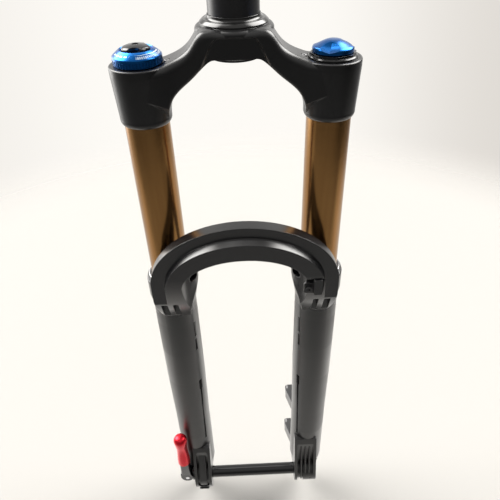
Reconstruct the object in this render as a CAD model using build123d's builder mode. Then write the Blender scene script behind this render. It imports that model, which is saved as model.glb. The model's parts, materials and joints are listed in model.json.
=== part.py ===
from build123d import *
import os
from math import cos, radians, sin

os.makedirs("parts", exist_ok=True)

# Suspension fork, in millimetres. The origin is on the steerer axis at the crown race seat.
# +Z runs up the steerer, +Y to the rear of the bicycle, +X to the rider's left.

# Whole fork
travel = 150.0
leg_spacing = 145.0
crown_offset = 22.4
axle_offset = 44.0
axle_to_crown = 557.3
bottom_out_gap = 2.5

# Fits and gaps
running_gap = 0.05
loose_gap = 0.3

# Steerer tube
steerer_length = 220.0
steerer_d = 28.6
steerer_base_d = 39.4
race_seat_d = 39.8
crown_socket_d = 40.4
race_seat_height = 4.0
steerer_wall = 2.6
taper_start = 30.0
taper_end = 92.0

# Upper tubes
tube_d = 36.0
tube_wall = 1.8

# Crown
hub_d = 60.8
pedestal_d = 53.2
pedestal_height = 0.8
hub_round = 3.7
hub_foot_d = 34.0
hub_depth = 27.0
boss_wall = 4.3
boss_foot_wall = 2.5
boss_top = -22.0
boss_bottom = -66.5
boss_lead_in = 5.0
arm_ridge = 6.0
arm_under_edge = 2.5
shield_depth = 1.4
shield_top_z = -5.5
shield_top_x = 15.0
shield_foot_x = 27.0
shield_round = 6.0
shield_draft = 40.0
screw_reach = 21.3
crown_screw_d = 4.4
crown_screw_length = 6.0

# Top caps, dial and knobs
cap_overhang = 0.5
cap_flange_height = 3.6
cap_plug_length = 16.0
cap_side_gap = 0.8
dial_height = 7.0
dial_rim_height = 5.6
dial_web = 5.5
dial_skirt = 1.3
dial_recess_d = 24.0
dial_spindle_d = 12.0
knob_d = 21.4
knob_height = 4.4
knob_spindle_d = 5.0
air_cap_d = 31.2
air_cap_height = 8.6
air_ring_d = 35.0
air_ring_height = 1.6
valve_stem_d = 10.0
valve_pin_d = 2.0
valve_pin_length = 9.0
scoop_angle = 10.0
scoop_reach = 11.2
scoop_depth = 6.6
scoop_tilt = 14.0
scoop_width = 18.0
scoop_draft = 10.0
flute_count = 48
flute_r = 0.9
knob_screw_d = 4.0
ball_d = 2.0
ball_count = 2
ball_circle_r = 12.0

# Lower casting
leg_wall = 1.8
leg_foot_wall = 2.0
leg_end_d = 30.0
collar_wall = 1.4
collar_height = 20.0
wiper_height = 5.0
bushing_wall = 1.3
relief_depth = 0.5
bore_side_gap = 0.6
foot_bore_d = 15.0
leg_floor = 8.0
leg_below_axle = 31.0
bore_above_axle = 7.3

leg_straight = 146.0
leg_taper = 75.0
wiper_width = 4.3
wiper_seat_depth = 8.0
foam_width = 3.0
foam_height = 7.0
bushing_height = 18.0
lower_bushing_lift = 8.0

# Arch
arch_rear = 48.0
arch_step = 60.0
arch_front = 67.0
arch_half_width = 86.0
arch_rise = 61.7
step_half_width = 71.9
step_rise = 48.8
ledge_half_width = 73.6
ledge_rise = 51.7
wheel_half_width = 57.5
wheel_rise = 32.8
foot_start = 12.0
foot_middle_y = 60.5
foot_middle_z = 230.0
outer_slot_x = 76.9
outer_slot_width = 6.4
inner_slot_x = 66.2
inner_slot_width = 5.4
slot_below_collar = 9.5
slot_length = 40.0
guide_seat_y = 61.5
guide_x = 62.1
guide_z = -211.8
guide_width = 17.0
guide_height = 18.5
guide_depth = 6.6
guide_base_height = 12.0
guide_base_depth = 2.4
guide_round = 2.2
guide_draft = 6.0
guide_ear_d = 9.0
guide_ear_height = 3.2
guide_ear_drop = 3.4
guide_wall = 1.9
hose_lift = 2.9
guide_screw_d = 3.0
guide_screw_head_d = 6.2
guide_screw_depth = 8.0
hose_d = 5.2
arch_wall = 4.0
foot_drop = 38.0
foot_tip_half_width = 81.0
flare_x = 44.0
flare_front = 66.0
flare_rear = 36.0
pocket_depth = 5.0
pocket_width = 11.6
pocket_height = 8.4
flare_height = 54.0
flare_head = 68.0
flare_roof_front = 34.0
flare_roof_rear = 13.0
boss_clearance = 1.2

# Dropouts, through axle and brake posts
hub_width = 110.0
axle_d = 15.0
axle_bore_d = 10.0
damper_drop_d = 36.0
air_drop_d = 31.0
damper_spool = 2.5
air_spool = 2.7
damper_drop_width = 22.0
air_drop_width = 28.0
drop_plate = 3.5
rib_height = 1.4
damper_rib_width = 9.0
air_rib_width = 1.8
air_rib_count = 3
hollow_floor = 2.2
hollow_corner = 6.0
damper_hollow_top = 50.0
air_hollow_top = 60.0
damper_hollow_low = -5.0
drop_lead_in = 5.0
rib_lead_in = 8.0
wedge_low = -10.0
tip_reach = 20.6
tip_width = 16.0
tip_depth = 11.0
tip_round = 5.0
tip_draft = 8.0
tip_hole_depth = 5.6
tip_hole_d = 4.0
tip_angle = 222.0
washer_d = 22.0
washer_height = 2.0
nut_d = 22.0
nut_length = 16.0
nut_screw_d = 3.0
cam_room_d = 24.4
axle_collar_d = 19.0
axle_collar_width = 3.3
lever_lean = 1.0
lever_forward = 4.6
arm_foot_forward = 2.4
sleeve_start = 36.0
arm_depth = 11.0
arm_width = 12.0
core_d = 6.0
pivot_pin_d = 5.0
cam_width = 15.0
cam_d = 14.6
slot_web = 0.9
sleeve_d = 16.8
lever_length = 92.0
post_spacing = 74.0
post_x = 54.0
post_face_y = 8.0
post_d = 15.0
post_length = 8.0
post_round = 4.0
post_root = 2.0
post_hole_d = 6.0
post_hole_depth = 16.0
post_above_axle = 29.5

# Damper and air spring
shaft_d = 10.0
rod_d = 3.9
cartridge_d = 25.0
cartridge_wall = 1.0
seal_head_height = 14.0
bumper_height = 8.0
piston_height = 14.0
spacer_height = 18.0
base_rod_r = 3.5
shim_count = 4
shim_height = 0.3
shim_pitch = 0.4
stud_length = 11.0
foot_shoulder = 8.0
nut_across = 14.0
washer_thickness = 1.0
foot_nut_height = 6.0
rebound_knob_d = 14.0
rebound_knob_height = 11.0
spacer_count = 3

# Places worked out from the sizes above
leg_x = leg_spacing / 2
leg_y = -crown_offset
axle_y = -axle_offset
axle_z = -axle_to_crown
tube_r = tube_d / 2
tube_bore_r = tube_r - tube_wall
boss_d = tube_d + 2 * boss_wall
boss_foot_d = tube_d + 2 * boss_foot_wall
cap_flange_d = tube_d + 2 * cap_overhang
dial_d = cap_flange_d
seat_d = tube_d + 2 * bushing_wall
relief_d = seat_d + 2 * relief_depth
bore_d = tube_d + 2 * bore_side_gap
wiper_seat_d = tube_d + 2 * wiper_width
foam_d = tube_d + 2 * foam_width
leg_d = relief_d + 2 * leg_wall
leg_foot_d = bore_d + 2 * leg_foot_wall
collar_d = wiper_seat_d + 2 * collar_wall
wiper_top = boss_bottom - travel - bottom_out_gap
collar_top = wiper_top - wiper_height
leg_end = axle_z - leg_below_axle
foot_floor = leg_end + leg_floor
bore_floor = axle_z + axle_d / 2 + bore_above_axle
tube_bottom = bore_floor + travel + bottom_out_gap
arch_z = wiper_top + 8.0
foot_tip = collar_top - foot_drop
cap_flange_top = boss_top + cap_flange_height


def leg_plane(side):
    """Upright plane through a leg axis: its x is the radius and its y is the height."""
    return Plane(origin=(side * leg_x, leg_y, 0), x_dir=(1, 0, 0), z_dir=(0, -1, 0))


def leg_axis(side):
    return Axis((side * leg_x, leg_y, 0), (0, 0, 1))


def cross_plane(x):
    """Plane square to the through axle, centred on it, with its x to the rear and its y up."""
    return Plane(origin=(x, axle_y, axle_z), x_dir=(0, 1, 0), z_dir=(1, 0, 0))


def turned(side, points):
    """Ring or disc turned about a leg axis, from its (radius, height) outline."""
    with BuildPart() as ring:
        with BuildSketch(leg_plane(side)):
            with BuildLine():
                Polyline(*points, close=True)
            make_face()
        revolve(axis=leg_axis(side))
    return ring.part


def ring_outline(inner_r, outer_r, low, high, ease=0.0):
    """Outline of a plain ring; ease takes off its outer corners."""
    if ease == 0.0:
        return [(inner_r, low), (outer_r, low), (outer_r, high), (inner_r, high)]
    return [
        (inner_r, low),
        (outer_r - ease, low),
        (outer_r, low + ease),
        (outer_r, high - ease),
        (outer_r - ease, high),
        (inner_r, high),
    ]


def save(solid, label):
    solid.label = label
    export_step(solid, f"parts/{label}.step")


# ---------------------------------------------------------------- steerer tube
with BuildPart() as steerer_tube:
    base_r = steerer_base_d / 2
    top_r = steerer_d / 2
    with BuildSketch(Plane.XZ):
        with BuildLine():
            Polyline(
                (base_r - steerer_wall - 0.6, -hub_depth + 2),
                (crown_socket_d / 2, -hub_depth + 2),
                (crown_socket_d / 2, 0),
                (race_seat_d / 2, 0),
                (race_seat_d / 2, race_seat_height),
                (base_r, race_seat_height + 1),
                (base_r, taper_start),
                (top_r, taper_end),
                (top_r, steerer_length - 1),
                (top_r - 1, steerer_length),
                (top_r - steerer_wall + 0.4, steerer_length),
                (top_r - steerer_wall, steerer_length - 1),
                (top_r - steerer_wall, taper_end),
                (base_r - steerer_wall - 0.6, taper_start),
                close=True,
            )
        make_face()
    revolve(axis=Axis.Z)
save(steerer_tube.part, "steerer_tube")


# ---------------------------------------------------------------- crown
shoulder_z = -pedestal_height
arm_crest = shoulder_z - 0.5
arm_floor = -hub_depth + 6.0
arm_end_z = boss_bottom + boss_lead_in
boss_side_x = leg_x - boss_foot_d / 2
with BuildPart() as crown:
    # the arms: their front outline pushed through their plan outline
    with BuildSketch(Plane.XZ.offset(hub_d)):
        with BuildLine():
            arm_top = Spline(
                (0, arm_crest),
                (hub_d / 2 - 3, arm_crest - 1.6),
                (leg_x * 0.50, boss_top + 8.6),
                (leg_x * 0.70, boss_top + 1.8),
                (leg_x, boss_top),
                tangents=[(1, 0), (1, 0)],
            )
            Line((leg_x, boss_top), (leg_x, arm_end_z))
            Line((leg_x, arm_end_z), (boss_side_x + 1, arm_end_z))
            arm_under = Spline(
                (boss_side_x + 1, arm_end_z),
                (boss_side_x - 4.4, boss_top - 23.0),
                (leg_x * 0.46, boss_top - 11.0),
                (hub_foot_d / 2 + 3, arm_floor - 0.6),
                (0, arm_floor),
                tangents=[(-0.1, 1), (-1, 0)],
            )
            Line((0, arm_floor), (0, arm_crest))
        make_face()
        mirror(about=Plane.YZ)
    extrude(amount=-2 * hub_d)
    with BuildSketch():
        with BuildLine():
            plan_front = Spline(
                (0, -hub_d / 2),
                (leg_x * 0.30, -hub_d / 2 - 0.6),
                (leg_x * 0.62, leg_y - 13.0),
                (leg_x * 0.86, leg_y - boss_d / 2 + 2.6),
                (leg_x, leg_y - boss_d / 2 + 1.4),
                tangents=[(1, 0), (1, 0)],
            )
            Line(plan_front @ 1, (leg_x, leg_y + boss_d / 2 - 1.4))
            plan_rear = Spline(
                (leg_x, leg_y + boss_d / 2 - 1.4),
                (leg_x * 0.80, leg_y + boss_d / 2 - 3.2),
                (leg_x * 0.52, leg_y + boss_d / 2 + 2.4),
                (hub_d / 2 * 0.72, hub_d / 2 * 0.69),
                (0, hub_d / 2),
                tangents=[(-1, 0), (-1, 0)],
            )
            Line(plan_rear @ 1, plan_front @ 0)
        make_face()
        mirror(about=Plane.YZ)
    extrude(amount=-2 * hub_depth - boss_d, mode=Mode.INTERSECT)
    long_edges = crown.edges().filter_by(lambda edge: edge.length > leg_spacing).sort_by(Axis.Z)
    fillet(long_edges[-2:], arm_ridge)
    long_edges = crown.edges().filter_by(lambda edge: edge.length > leg_spacing).sort_by(Axis.Z)
    fillet(long_edges[:2], arm_under_edge)
    # seen from the side, each arm narrows where it runs down the flank of its boss
    with BuildSketch(Plane.YZ.offset(-leg_x)):
        with BuildLine():
            Polyline((leg_y, boss_bottom), (leg_y - 5, boss_bottom))
            Spline(
                (leg_y - 5, boss_bottom),
                (leg_y - boss_d / 2 + 7, boss_bottom + 14),
                (leg_y - boss_d / 2 - 1, boss_top - 14),
                tangents=[(-0.5, 1), (-0.1, 1)],
            )
            Polyline((leg_y - boss_d / 2 - 1, boss_top - 14), (leg_y - boss_d / 2 - 1, 0), (hub_d, 0))
            Polyline((hub_d, 0), (hub_d, boss_top - 14), (leg_y + boss_d / 2 + 3, boss_top - 14))
            Spline(
                (leg_y + boss_d / 2 + 3, boss_top - 14),
                (leg_y + boss_d / 2 - 7, boss_bottom + 14),
                (leg_y + 5, boss_bottom),
                tangents=[(-0.1, -1), (-0.5, -1)],
            )
            Line((leg_y + 5, boss_bottom), (leg_y, boss_bottom))
        make_face()
    extrude(amount=leg_spacing, mode=Mode.INTERSECT)
    # the hub, with its raised race shoulder and the foot ring under it
    with BuildSketch(Plane.XZ):
        with BuildLine():
            hub_r = hub_d / 2
            Polyline((0, -hub_depth), (hub_foot_d / 2, -hub_depth), (hub_foot_d / 2, 2.5 - hub_depth))
            Line((hub_foot_d / 2, 2.5 - hub_depth), (hub_r - 4, arm_floor - 0.5))
            RadiusArc((hub_r - 4, arm_floor - 0.5), (hub_r, arm_floor + 3.5), -4)
            Line((hub_r, arm_floor + 3.5), (hub_r, shoulder_z - hub_round))
            RadiusArc((hub_r, shoulder_z - hub_round), (hub_r - hub_round, shoulder_z), -hub_round)
            Polyline((hub_r - hub_round, shoulder_z), (pedestal_d / 2, shoulder_z), (pedestal_d / 2, -0.3))
            Polyline((pedestal_d / 2, -0.3), (pedestal_d / 2 - 0.3, 0), (0, 0), (0, -hub_depth))
        make_face()
    revolve(axis=Axis.Z)
    # the tube bosses
    for side in (-1, 1):
        with BuildSketch(leg_plane(side)):
            with BuildLine():
                boss_r = boss_d / 2
                foot_r = boss_foot_d / 2
                Polyline((0, boss_bottom), (tube_r + 0.8, boss_bottom))
                RadiusArc((tube_r + 0.8, boss_bottom), (foot_r, boss_bottom + boss_lead_in), -6)
                Line((foot_r, boss_bottom + boss_lead_in), (boss_r, boss_top - 6))
                Line((boss_r, boss_top - 6), (boss_r, boss_top - 1.4))
                RadiusArc((boss_r, boss_top - 1.4), (boss_r - 1.4, boss_top), -1.4)
                Polyline((boss_r - 1.4, boss_top), (0, boss_top), (0, boss_bottom))
            make_face()
        revolve(axis=leg_axis(side))
    # shallow shield sunk into the front, with sloping sides
    with BuildSketch(Plane.XZ.offset(hub_d / 2 - shield_depth)):
        with BuildLine():
            shield = Polyline(
                (-shield_foot_x, -hub_depth - 4),
                (-shield_top_x, shield_top_z),
                (shield_top_x, shield_top_z),
                (shield_foot_x, -hub_depth - 4),
                close=True,
            )
        make_face()
        fillet(shield.vertices().sort_by(Axis.Y)[-2:], shield_round)
    extrude(amount=hub_d / 4, taper=-shield_draft, mode=Mode.SUBTRACT)
    # bores for the steerer and the upper tubes
    with BuildSketch(Plane.XY.offset(-hub_depth)):
        Circle(crown_socket_d / 2)
    extrude(amount=hub_depth, mode=Mode.SUBTRACT)
    for side in (-1, 1):
        with BuildSketch(Plane.XY.offset(boss_bottom)):
            with Locations((side * leg_x, leg_y)):
                Circle(tube_r)
        extrude(amount=boss_top - boss_bottom + hub_d, mode=Mode.SUBTRACT)
        with BuildSketch(Plane.XY.offset(boss_top)):
            with Locations((side * leg_x, leg_y)):
                Circle(cap_flange_d / 2 + cap_side_gap)
        extrude(amount=hub_d, mode=Mode.SUBTRACT)
        # spot face and hole for the small screw beside each cap
        with BuildSketch(Plane.XY.offset(boss_top)):
            with Locations((side * (leg_x - screw_reach), leg_y)):
                Circle(crown_screw_d / 2 + loose_gap)
        extrude(amount=hub_d, mode=Mode.SUBTRACT)
        with BuildSketch(Plane.XY.offset(boss_top - crown_screw_length)):
            with Locations((side * (leg_x - screw_reach), leg_y)):
                Circle(crown_screw_d / 4)
        extrude(amount=crown_screw_length, mode=Mode.SUBTRACT)
save(crown.part, "crown")


# ---------------------------------------------------------------- upper tubes and their caps
for side, name in ((-1, "damper_upper_tube"), (1, "air_upper_tube")):
    tube_outline = [
        (tube_bore_r, tube_bottom),
        (tube_r - 0.8, tube_bottom),
        (tube_r, tube_bottom + 1.6),
        (tube_r, boss_top),
        (tube_bore_r, boss_top),
    ]
    save(turned(side, tube_outline), name)

cap_plug_r = tube_bore_r
cap_bottom = boss_top - cap_plug_length
ring_groove_z = boss_top - 5.0
ring_wire = 2.0

with BuildPart() as damper_top_cap:
    dial_floor = cap_flange_top + loose_gap
    knob_floor = dial_floor + dial_web + loose_gap
    skirt_r = dial_d / 2 - dial_skirt
    damper_flange_r = skirt_r - loose_gap
    with BuildSketch(leg_plane(-1)):
        with BuildLine():
            socket_r = cartridge_d / 2 - cartridge_wall
            Polyline(
                (0, cap_bottom - 8),
                (socket_r, cap_bottom - 8),
                (socket_r, cap_bottom),
                (cap_plug_r, cap_bottom),
                (cap_plug_r, ring_groove_z - ring_wire),
                (cap_plug_r - ring_wire, ring_groove_z - ring_wire),
                (cap_plug_r - ring_wire, ring_groove_z),
                (cap_plug_r, ring_groove_z),
                (cap_plug_r, boss_top),
                (damper_flange_r, boss_top),
                (damper_flange_r, cap_flange_top - 0.6),
                (damper_flange_r - 0.6, cap_flange_top),
                (dial_spindle_d / 2, cap_flange_top),
                (dial_spindle_d / 2, knob_floor - loose_gap),
                (knob_spindle_d / 2, knob_floor - loose_gap),
                (knob_spindle_d / 2, knob_floor + knob_height - 2.5),
                (0, knob_floor + knob_height - 2.5),
                close=True,
            )
        make_face()
    revolve(axis=leg_axis(-1))
    # spanner notches round the flange
    with BuildSketch(Plane.XY.offset(boss_top)):
        with Locations((-leg_x, leg_y)):
            with PolarLocations(damper_flange_r, 8):
                Circle(1.6)
    extrude(amount=cap_flange_height, mode=Mode.SUBTRACT)
    # pockets for the click balls
    with BuildSketch(Plane.XY.offset(cap_flange_top - ball_d)):
        with Locations((-leg_x, leg_y)):
            with PolarLocations(ball_circle_r, ball_count):
                Circle(ball_d / 2 + running_gap)
    extrude(amount=ball_d, mode=Mode.SUBTRACT)
save(damper_top_cap.part, "damper_top_cap")

with BuildPart() as dial_detent_balls:
    with Locations((-leg_x, leg_y, cap_flange_top - ball_d / 2)):
        with PolarLocations(ball_circle_r, ball_count):
            Sphere(ball_d / 2)
save(dial_detent_balls.part, "dial_detent_balls")

# the turning dial: fluted skirt over the cap's flange, sloping shoulder and a recess for the knob
with BuildPart() as compression_dial:
    with BuildSketch(leg_plane(-1)):
        with BuildLine():
            dial_r = dial_d / 2
            dial_top = dial_floor + dial_height
            skirt_low = boss_top + loose_gap
            rim_top = skirt_low + dial_rim_height
            Polyline(
                (dial_spindle_d / 2 + running_gap, dial_floor),
                (skirt_r, dial_floor),
                (skirt_r, skirt_low),
                (dial_r - 0.6, skirt_low),
                (dial_r, skirt_low + 0.6),
                (dial_r, rim_top),
            )
            Spline(
                (dial_r, rim_top),
                (dial_r - 1.0, rim_top + 1.5),
                (dial_recess_d / 2 + 0.8, dial_top),
                tangents=[(-0.1, 1), (-1, 0.55)],
            )
            Polyline(
                (dial_recess_d / 2 + 0.8, dial_top),
                (dial_recess_d / 2, dial_top - 0.8),
                (dial_recess_d / 2, dial_floor + dial_web),
                (dial_spindle_d / 2 + running_gap, dial_floor + dial_web),
                (dial_spindle_d / 2 + running_gap, dial_floor),
            )
        make_face()
    revolve(axis=leg_axis(-1))
    with BuildSketch(Plane.XY.offset(skirt_low)):
        with Locations((-leg_x, leg_y)):
            with PolarLocations(dial_r + flute_r / 2, flute_count):
                Circle(flute_r)
    extrude(amount=dial_rim_height - 1.0, mode=Mode.SUBTRACT)
save(compression_dial.part, "compression_dial")

# the low speed knob: three lobes round a domed hub, held by a screw
with BuildPart() as low_speed_knob:
    with BuildSketch(Plane.XY.offset(knob_floor)):
        with Locations((-leg_x, leg_y)):
            Circle(knob_d / 2)
            with PolarLocations(knob_d * 0.66, 3, start_angle=30):
                Circle(knob_d * 0.32, mode=Mode.SUBTRACT)
            Circle(knob_d * 0.27)
    extrude(amount=knob_height)
    # a dome trims the lobes
    with BuildSketch(leg_plane(-1)):
        with BuildLine():
            Polyline((0, knob_floor), (knob_d / 2, knob_floor), (knob_d / 2, knob_floor + knob_height * 0.3))
            Spline(
                (knob_d / 2, knob_floor + knob_height * 0.3),
                (knob_d / 2 - 3.4, knob_floor + knob_height * 0.8),
                (0, knob_floor + knob_height),
                tangents=[(-0.3, 1), (-1, 0)],
            )
            Line((0, knob_floor + knob_height), (0, knob_floor))
        make_face()
    revolve(axis=leg_axis(-1), mode=Mode.INTERSECT)
    with BuildSketch(Plane.XY.offset(knob_floor)):
        with Locations((-leg_x, leg_y)):
            Circle(knob_spindle_d / 2 + running_gap)
    extrude(amount=knob_height, mode=Mode.SUBTRACT)
    with BuildSketch(Plane.XY.offset(knob_floor + knob_height - 2.2)):
        with Locations((-leg_x, leg_y)):
            Circle(knob_screw_d / 2 + loose_gap)
    extrude(amount=knob_height, mode=Mode.SUBTRACT)
save(low_speed_knob.part, "low_speed_knob")

with BuildPart() as knob_screw:
    screw_floor = knob_floor + knob_height - 2.5
    with BuildSketch(Plane.XY.offset(screw_floor)):
        with Locations((-leg_x, leg_y)):
            Circle(knob_screw_d / 2)
    extrude(amount=1.8)
    with BuildSketch(Plane.XY.offset(screw_floor + 0.8)):
        with Locations((-leg_x, leg_y)):
            RegularPolygon(1.25, 6)
    extrude(amount=1.0, mode=Mode.SUBTRACT)
save(knob_screw.part, "knob_screw")

# the air side cap: flange, eight sided ring and the valve stem
with BuildPart() as air_top_cap:
    stem_top = cap_flange_top + loose_gap + air_cap_height - 5.0
    stem_bore_r = valve_pin_d / 2 + running_gap
    with BuildSketch(leg_plane(1)):
        with BuildLine():
            Polyline(
                (stem_bore_r, cap_bottom),
                (cap_plug_r, cap_bottom),
                (cap_plug_r, ring_groove_z - ring_wire),
                (cap_plug_r - ring_wire, ring_groove_z - ring_wire),
                (cap_plug_r - ring_wire, ring_groove_z),
                (cap_plug_r, ring_groove_z),
                (cap_plug_r, boss_top),
                (cap_flange_d / 2, boss_top),
                (cap_flange_d / 2, cap_flange_top - air_ring_height - 0.8),
                (cap_flange_d / 2 - 0.8, cap_flange_top - air_ring_height),
                (valve_stem_d / 2, cap_flange_top - air_ring_height),
                (valve_stem_d / 2, stem_top - 0.6),
                (valve_stem_d / 2 - 0.6, stem_top),
                (stem_bore_r, stem_top),
                close=True,
            )
        make_face()
    revolve(axis=leg_axis(1))
    with BuildSketch(Plane.XY.offset(cap_flange_top - air_ring_height)):
        with Locations((leg_x, leg_y)):
            RegularPolygon(air_ring_d / 2, 8)
            Circle(valve_stem_d / 2, mode=Mode.SUBTRACT)
    extrude(amount=air_ring_height)
save(air_top_cap.part, "air_top_cap")

save(turned(1, ring_outline(0, valve_pin_d / 2, stem_top - valve_pin_length, stem_top + 0.6)), "valve_pin")

with BuildPart() as top_cap_o_rings:
    for side in (-1, 1):
        with BuildSketch(leg_plane(side)):
            with Locations((cap_plug_r - ring_wire / 2, ring_groove_z - ring_wire / 2)):
                Circle(ring_wire / 2)
        revolve(axis=leg_axis(side))
save(top_cap_o_rings.part, "top_cap_o_rings")

# the air cap: a low dome cut by three scoops, which leaves three wings to grip
with BuildPart() as air_cap:
    cap_floor = cap_flange_top + loose_gap
    with BuildSketch(leg_plane(1)):
        with BuildLine():
            air_r = air_cap_d / 2
            Polyline((0, cap_floor), (air_r - 0.5, cap_floor), (air_r, cap_floor + 0.5), (air_r, cap_floor + 2.6))
            Spline(
                (air_r, cap_floor + 2.6),
                (air_r * 0.84, cap_floor + air_cap_height * 0.56),
                (air_r * 0.40, cap_floor + air_cap_height * 0.90),
                (0, cap_floor + air_cap_height),
                tangents=[(-0.2, 1), (-1, 0)],
            )
            Line((0, cap_floor + air_cap_height), (0, cap_floor))
        make_face()
    revolve(axis=leg_axis(1))
    for turn in range(3):
        with BuildSketch(
            Plane(
                origin=(leg_x, leg_y, cap_floor),
                x_dir=(cos(radians(scoop_angle + 120 * turn)), sin(radians(scoop_angle + 120 * turn)), 0),
                z_dir=(-sin(radians(scoop_angle + 120 * turn)), cos(radians(scoop_angle + 120 * turn)), 0),
            )
        ):
            with Locations((air_r + 0.5, -air_cap_height)):
                Ellipse(scoop_reach, scoop_depth, rotation=scoop_tilt)
        extrude(amount=scoop_width / 2, both=True, taper=scoop_draft, mode=Mode.SUBTRACT)
    with BuildSketch(Plane.XY.offset(cap_floor)):
        with Locations((leg_x, leg_y)):
            Circle(valve_stem_d / 2 + running_gap)
    extrude(amount=stem_top - cap_floor + 1.2, mode=Mode.SUBTRACT)
save(air_cap.part, "air_cap")

with BuildPart() as crown_screws:
    for side in (-1, 1):
        with BuildSketch(Plane.XY.offset(boss_top)):
            with Locations((side * (leg_x - screw_reach), leg_y)):
                Circle(crown_screw_d / 2)
        extrude(amount=1.8)
        with BuildSketch(Plane.XY.offset(boss_top - crown_screw_length)):
            with Locations((side * (leg_x - screw_reach), leg_y)):
                Circle(crown_screw_d / 4)
        extrude(amount=crown_screw_length)
        with BuildSketch(Plane.XY.offset(boss_top + 0.8)):
            with Locations((side * (leg_x - screw_reach), leg_y)):
                RegularPolygon(1.2, 6)
        extrude(amount=1.0, mode=Mode.SUBTRACT)
save(crown_screws.part, "crown_screws")


# ---------------------------------------------------------------- damper, hung from its cap
socket_r = cartridge_d / 2 - cartridge_wall
head_floor = tube_bottom
head_top = head_floor + seal_head_height
rebound_low = head_top + bumper_height
rebound_top = rebound_low + piston_height
base_low = rebound_top + travel + 10.0
base_top = base_low + piston_height
shaft_r = shaft_d / 2
cap_socket_z = cap_bottom - 8

save(turned(-1, ring_outline(socket_r, cartridge_d / 2, head_top - 6, cap_bottom)), "damper_cartridge")
save(
    turned(
        -1,
        [
            (shaft_r + running_gap, head_floor),
            (tube_bore_r, head_floor),
            (tube_bore_r, head_floor + 1.5),
            (tube_bore_r - ring_wire, head_floor + 1.5),
            (tube_bore_r - ring_wire, head_floor + 1.5 + ring_wire),
            (tube_bore_r, head_floor + 1.5 + ring_wire),
            (tube_bore_r, head_top - 6),
            (socket_r, head_top - 6),
            (socket_r, head_top),
            (shaft_r + running_gap, head_top),
        ],
    ),
    "cartridge_seal_head",
)
save(
    turned(
        -1,
        [
            (0, base_low),
            (socket_r - loose_gap, base_low),
            (socket_r - loose_gap, base_top),
            (base_rod_r, base_top),
            (base_rod_r, cap_socket_z),
            (0, cap_socket_z),
        ],
    ),
    "base_valve",
)
with BuildPart() as base_valve_shims:
    for step in range(shim_count):
        with BuildSketch(leg_plane(-1)):
            shim_z = base_top + step * shim_pitch
            with Locations(((base_rod_r + socket_r - 3.0 - step) / 2, shim_z + shim_height / 2)):
                Rectangle(socket_r - 3.0 - step - base_rod_r, shim_height)
        revolve(axis=leg_axis(-1))
save(base_valve_shims.part, "base_valve_shims")

bladder_low = base_top + shim_count * shim_pitch + 4.0
bladder_top = cap_socket_z - 4.0
bladder_r = socket_r - 1.2
save(
    turned(
        -1,
        [
            (base_rod_r, bladder_low),
            (base_rod_r + 1.6, bladder_low),
            (base_rod_r + 1.6, bladder_low + 3),
            (bladder_r, bladder_low + 10),
            (bladder_r, bladder_top - 10),
            (base_rod_r + 1.6, bladder_top - 3),
            (base_rod_r + 1.6, bladder_top),
            (base_rod_r, bladder_top),
            (base_rod_r, bladder_top - 3.6),
            (bladder_r - 1.0, bladder_top - 10.6),
            (bladder_r - 1.0, bladder_low + 10.6),
            (base_rod_r, bladder_low + 3.6),
        ],
    ),
    "damper_bladder",
)


# ---------------------------------------------------------------- air spring head and spacers
save(
    turned(
        1,
        [
            (shaft_r + running_gap, head_floor + 2),
            (tube_bore_r, head_floor + 2),
            (tube_bore_r, head_floor + 4),
            (tube_bore_r - ring_wire, head_floor + 4),
            (tube_bore_r - ring_wire, head_floor + 4 + ring_wire),
            (tube_bore_r, head_floor + 4 + ring_wire),
            (tube_bore_r, head_top),
            (shaft_r + running_gap, head_top),
        ],
    ),
    "air_seal_head",
)
save(turned(1, ring_outline(tube_bore_r - 2.4, tube_bore_r, head_floor + 0.6, head_floor + 2)), "air_seal_ring")
with BuildPart() as seal_head_o_rings:
    for side, groove in ((-1, head_floor + 1.5), (1, head_floor + 4)):
        with BuildSketch(leg_plane(side)):
            with Locations((tube_bore_r - ring_wire / 2, groove + ring_wire / 2)):
                Circle(ring_wire / 2)
        revolve(axis=leg_axis(side))
save(seal_head_o_rings.part, "seal_head_o_rings")

with BuildPart() as volume_spacers:
    for step in range(spacer_count):
        with BuildSketch(leg_plane(1)):
            spacer_top = cap_bottom - step * spacer_height
            with BuildLine():
                spacer_r = tube_bore_r - 1.2
                Polyline(
                    (0, spacer_top - 2.5),
                    (spacer_r - 5, spacer_top - 2.5),
                    (spacer_r - 5, spacer_top),
                    (spacer_r, spacer_top),
                    (spacer_r, spacer_top - spacer_height + 0.4),
                    (spacer_r - 2, spacer_top - spacer_height + 0.4),
                    (spacer_r - 2, spacer_top - 5),
                    (0, spacer_top - 5),
                    close=True,
                )
            make_face()
        revolve(axis=leg_axis(1))
save(volume_spacers.part, "volume_spacers")


# ---------------------------------------------------------------- lower casting
upper_bushing_top = collar_top - wiper_seat_depth - foam_height
lower_bushing_low = tube_bottom + lower_bushing_lift
lower_bushing_top = lower_bushing_low + bushing_height
seat_r = seat_d / 2
relief_r = relief_d / 2
axle_r = axle_d / 2
hub_half = hub_width / 2
wiper_seat_r = wiper_seat_d / 2
foam_r = foam_d / 2
cam_room_r = cam_room_d / 2
post_low_z = axle_z + post_above_axle
air_drop_r = air_drop_d / 2
slot_floor_y = crown_offset + collar_d / 2 + 0.4
drop_widths = {-1: damper_drop_width, 1: air_drop_width}
drop_radii = {-1: damper_drop_d / 2, 1: air_drop_r}
spool_radii = {-1: damper_drop_d / 2 - damper_spool, 1: air_drop_r - air_spool}
hollow_tops = {-1: damper_hollow_top, 1: air_hollow_top}
hollow_lows = {-1: damper_hollow_low, 1: -hub_d}
rib_widths = {-1: damper_rib_width, 1: air_rib_width}
rib_counts = {-1: 1, 1: air_rib_count}
ear_x = guide_x - guide_width / 2 + guide_ear_d / 2
ear_z = guide_z - guide_ear_drop


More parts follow.
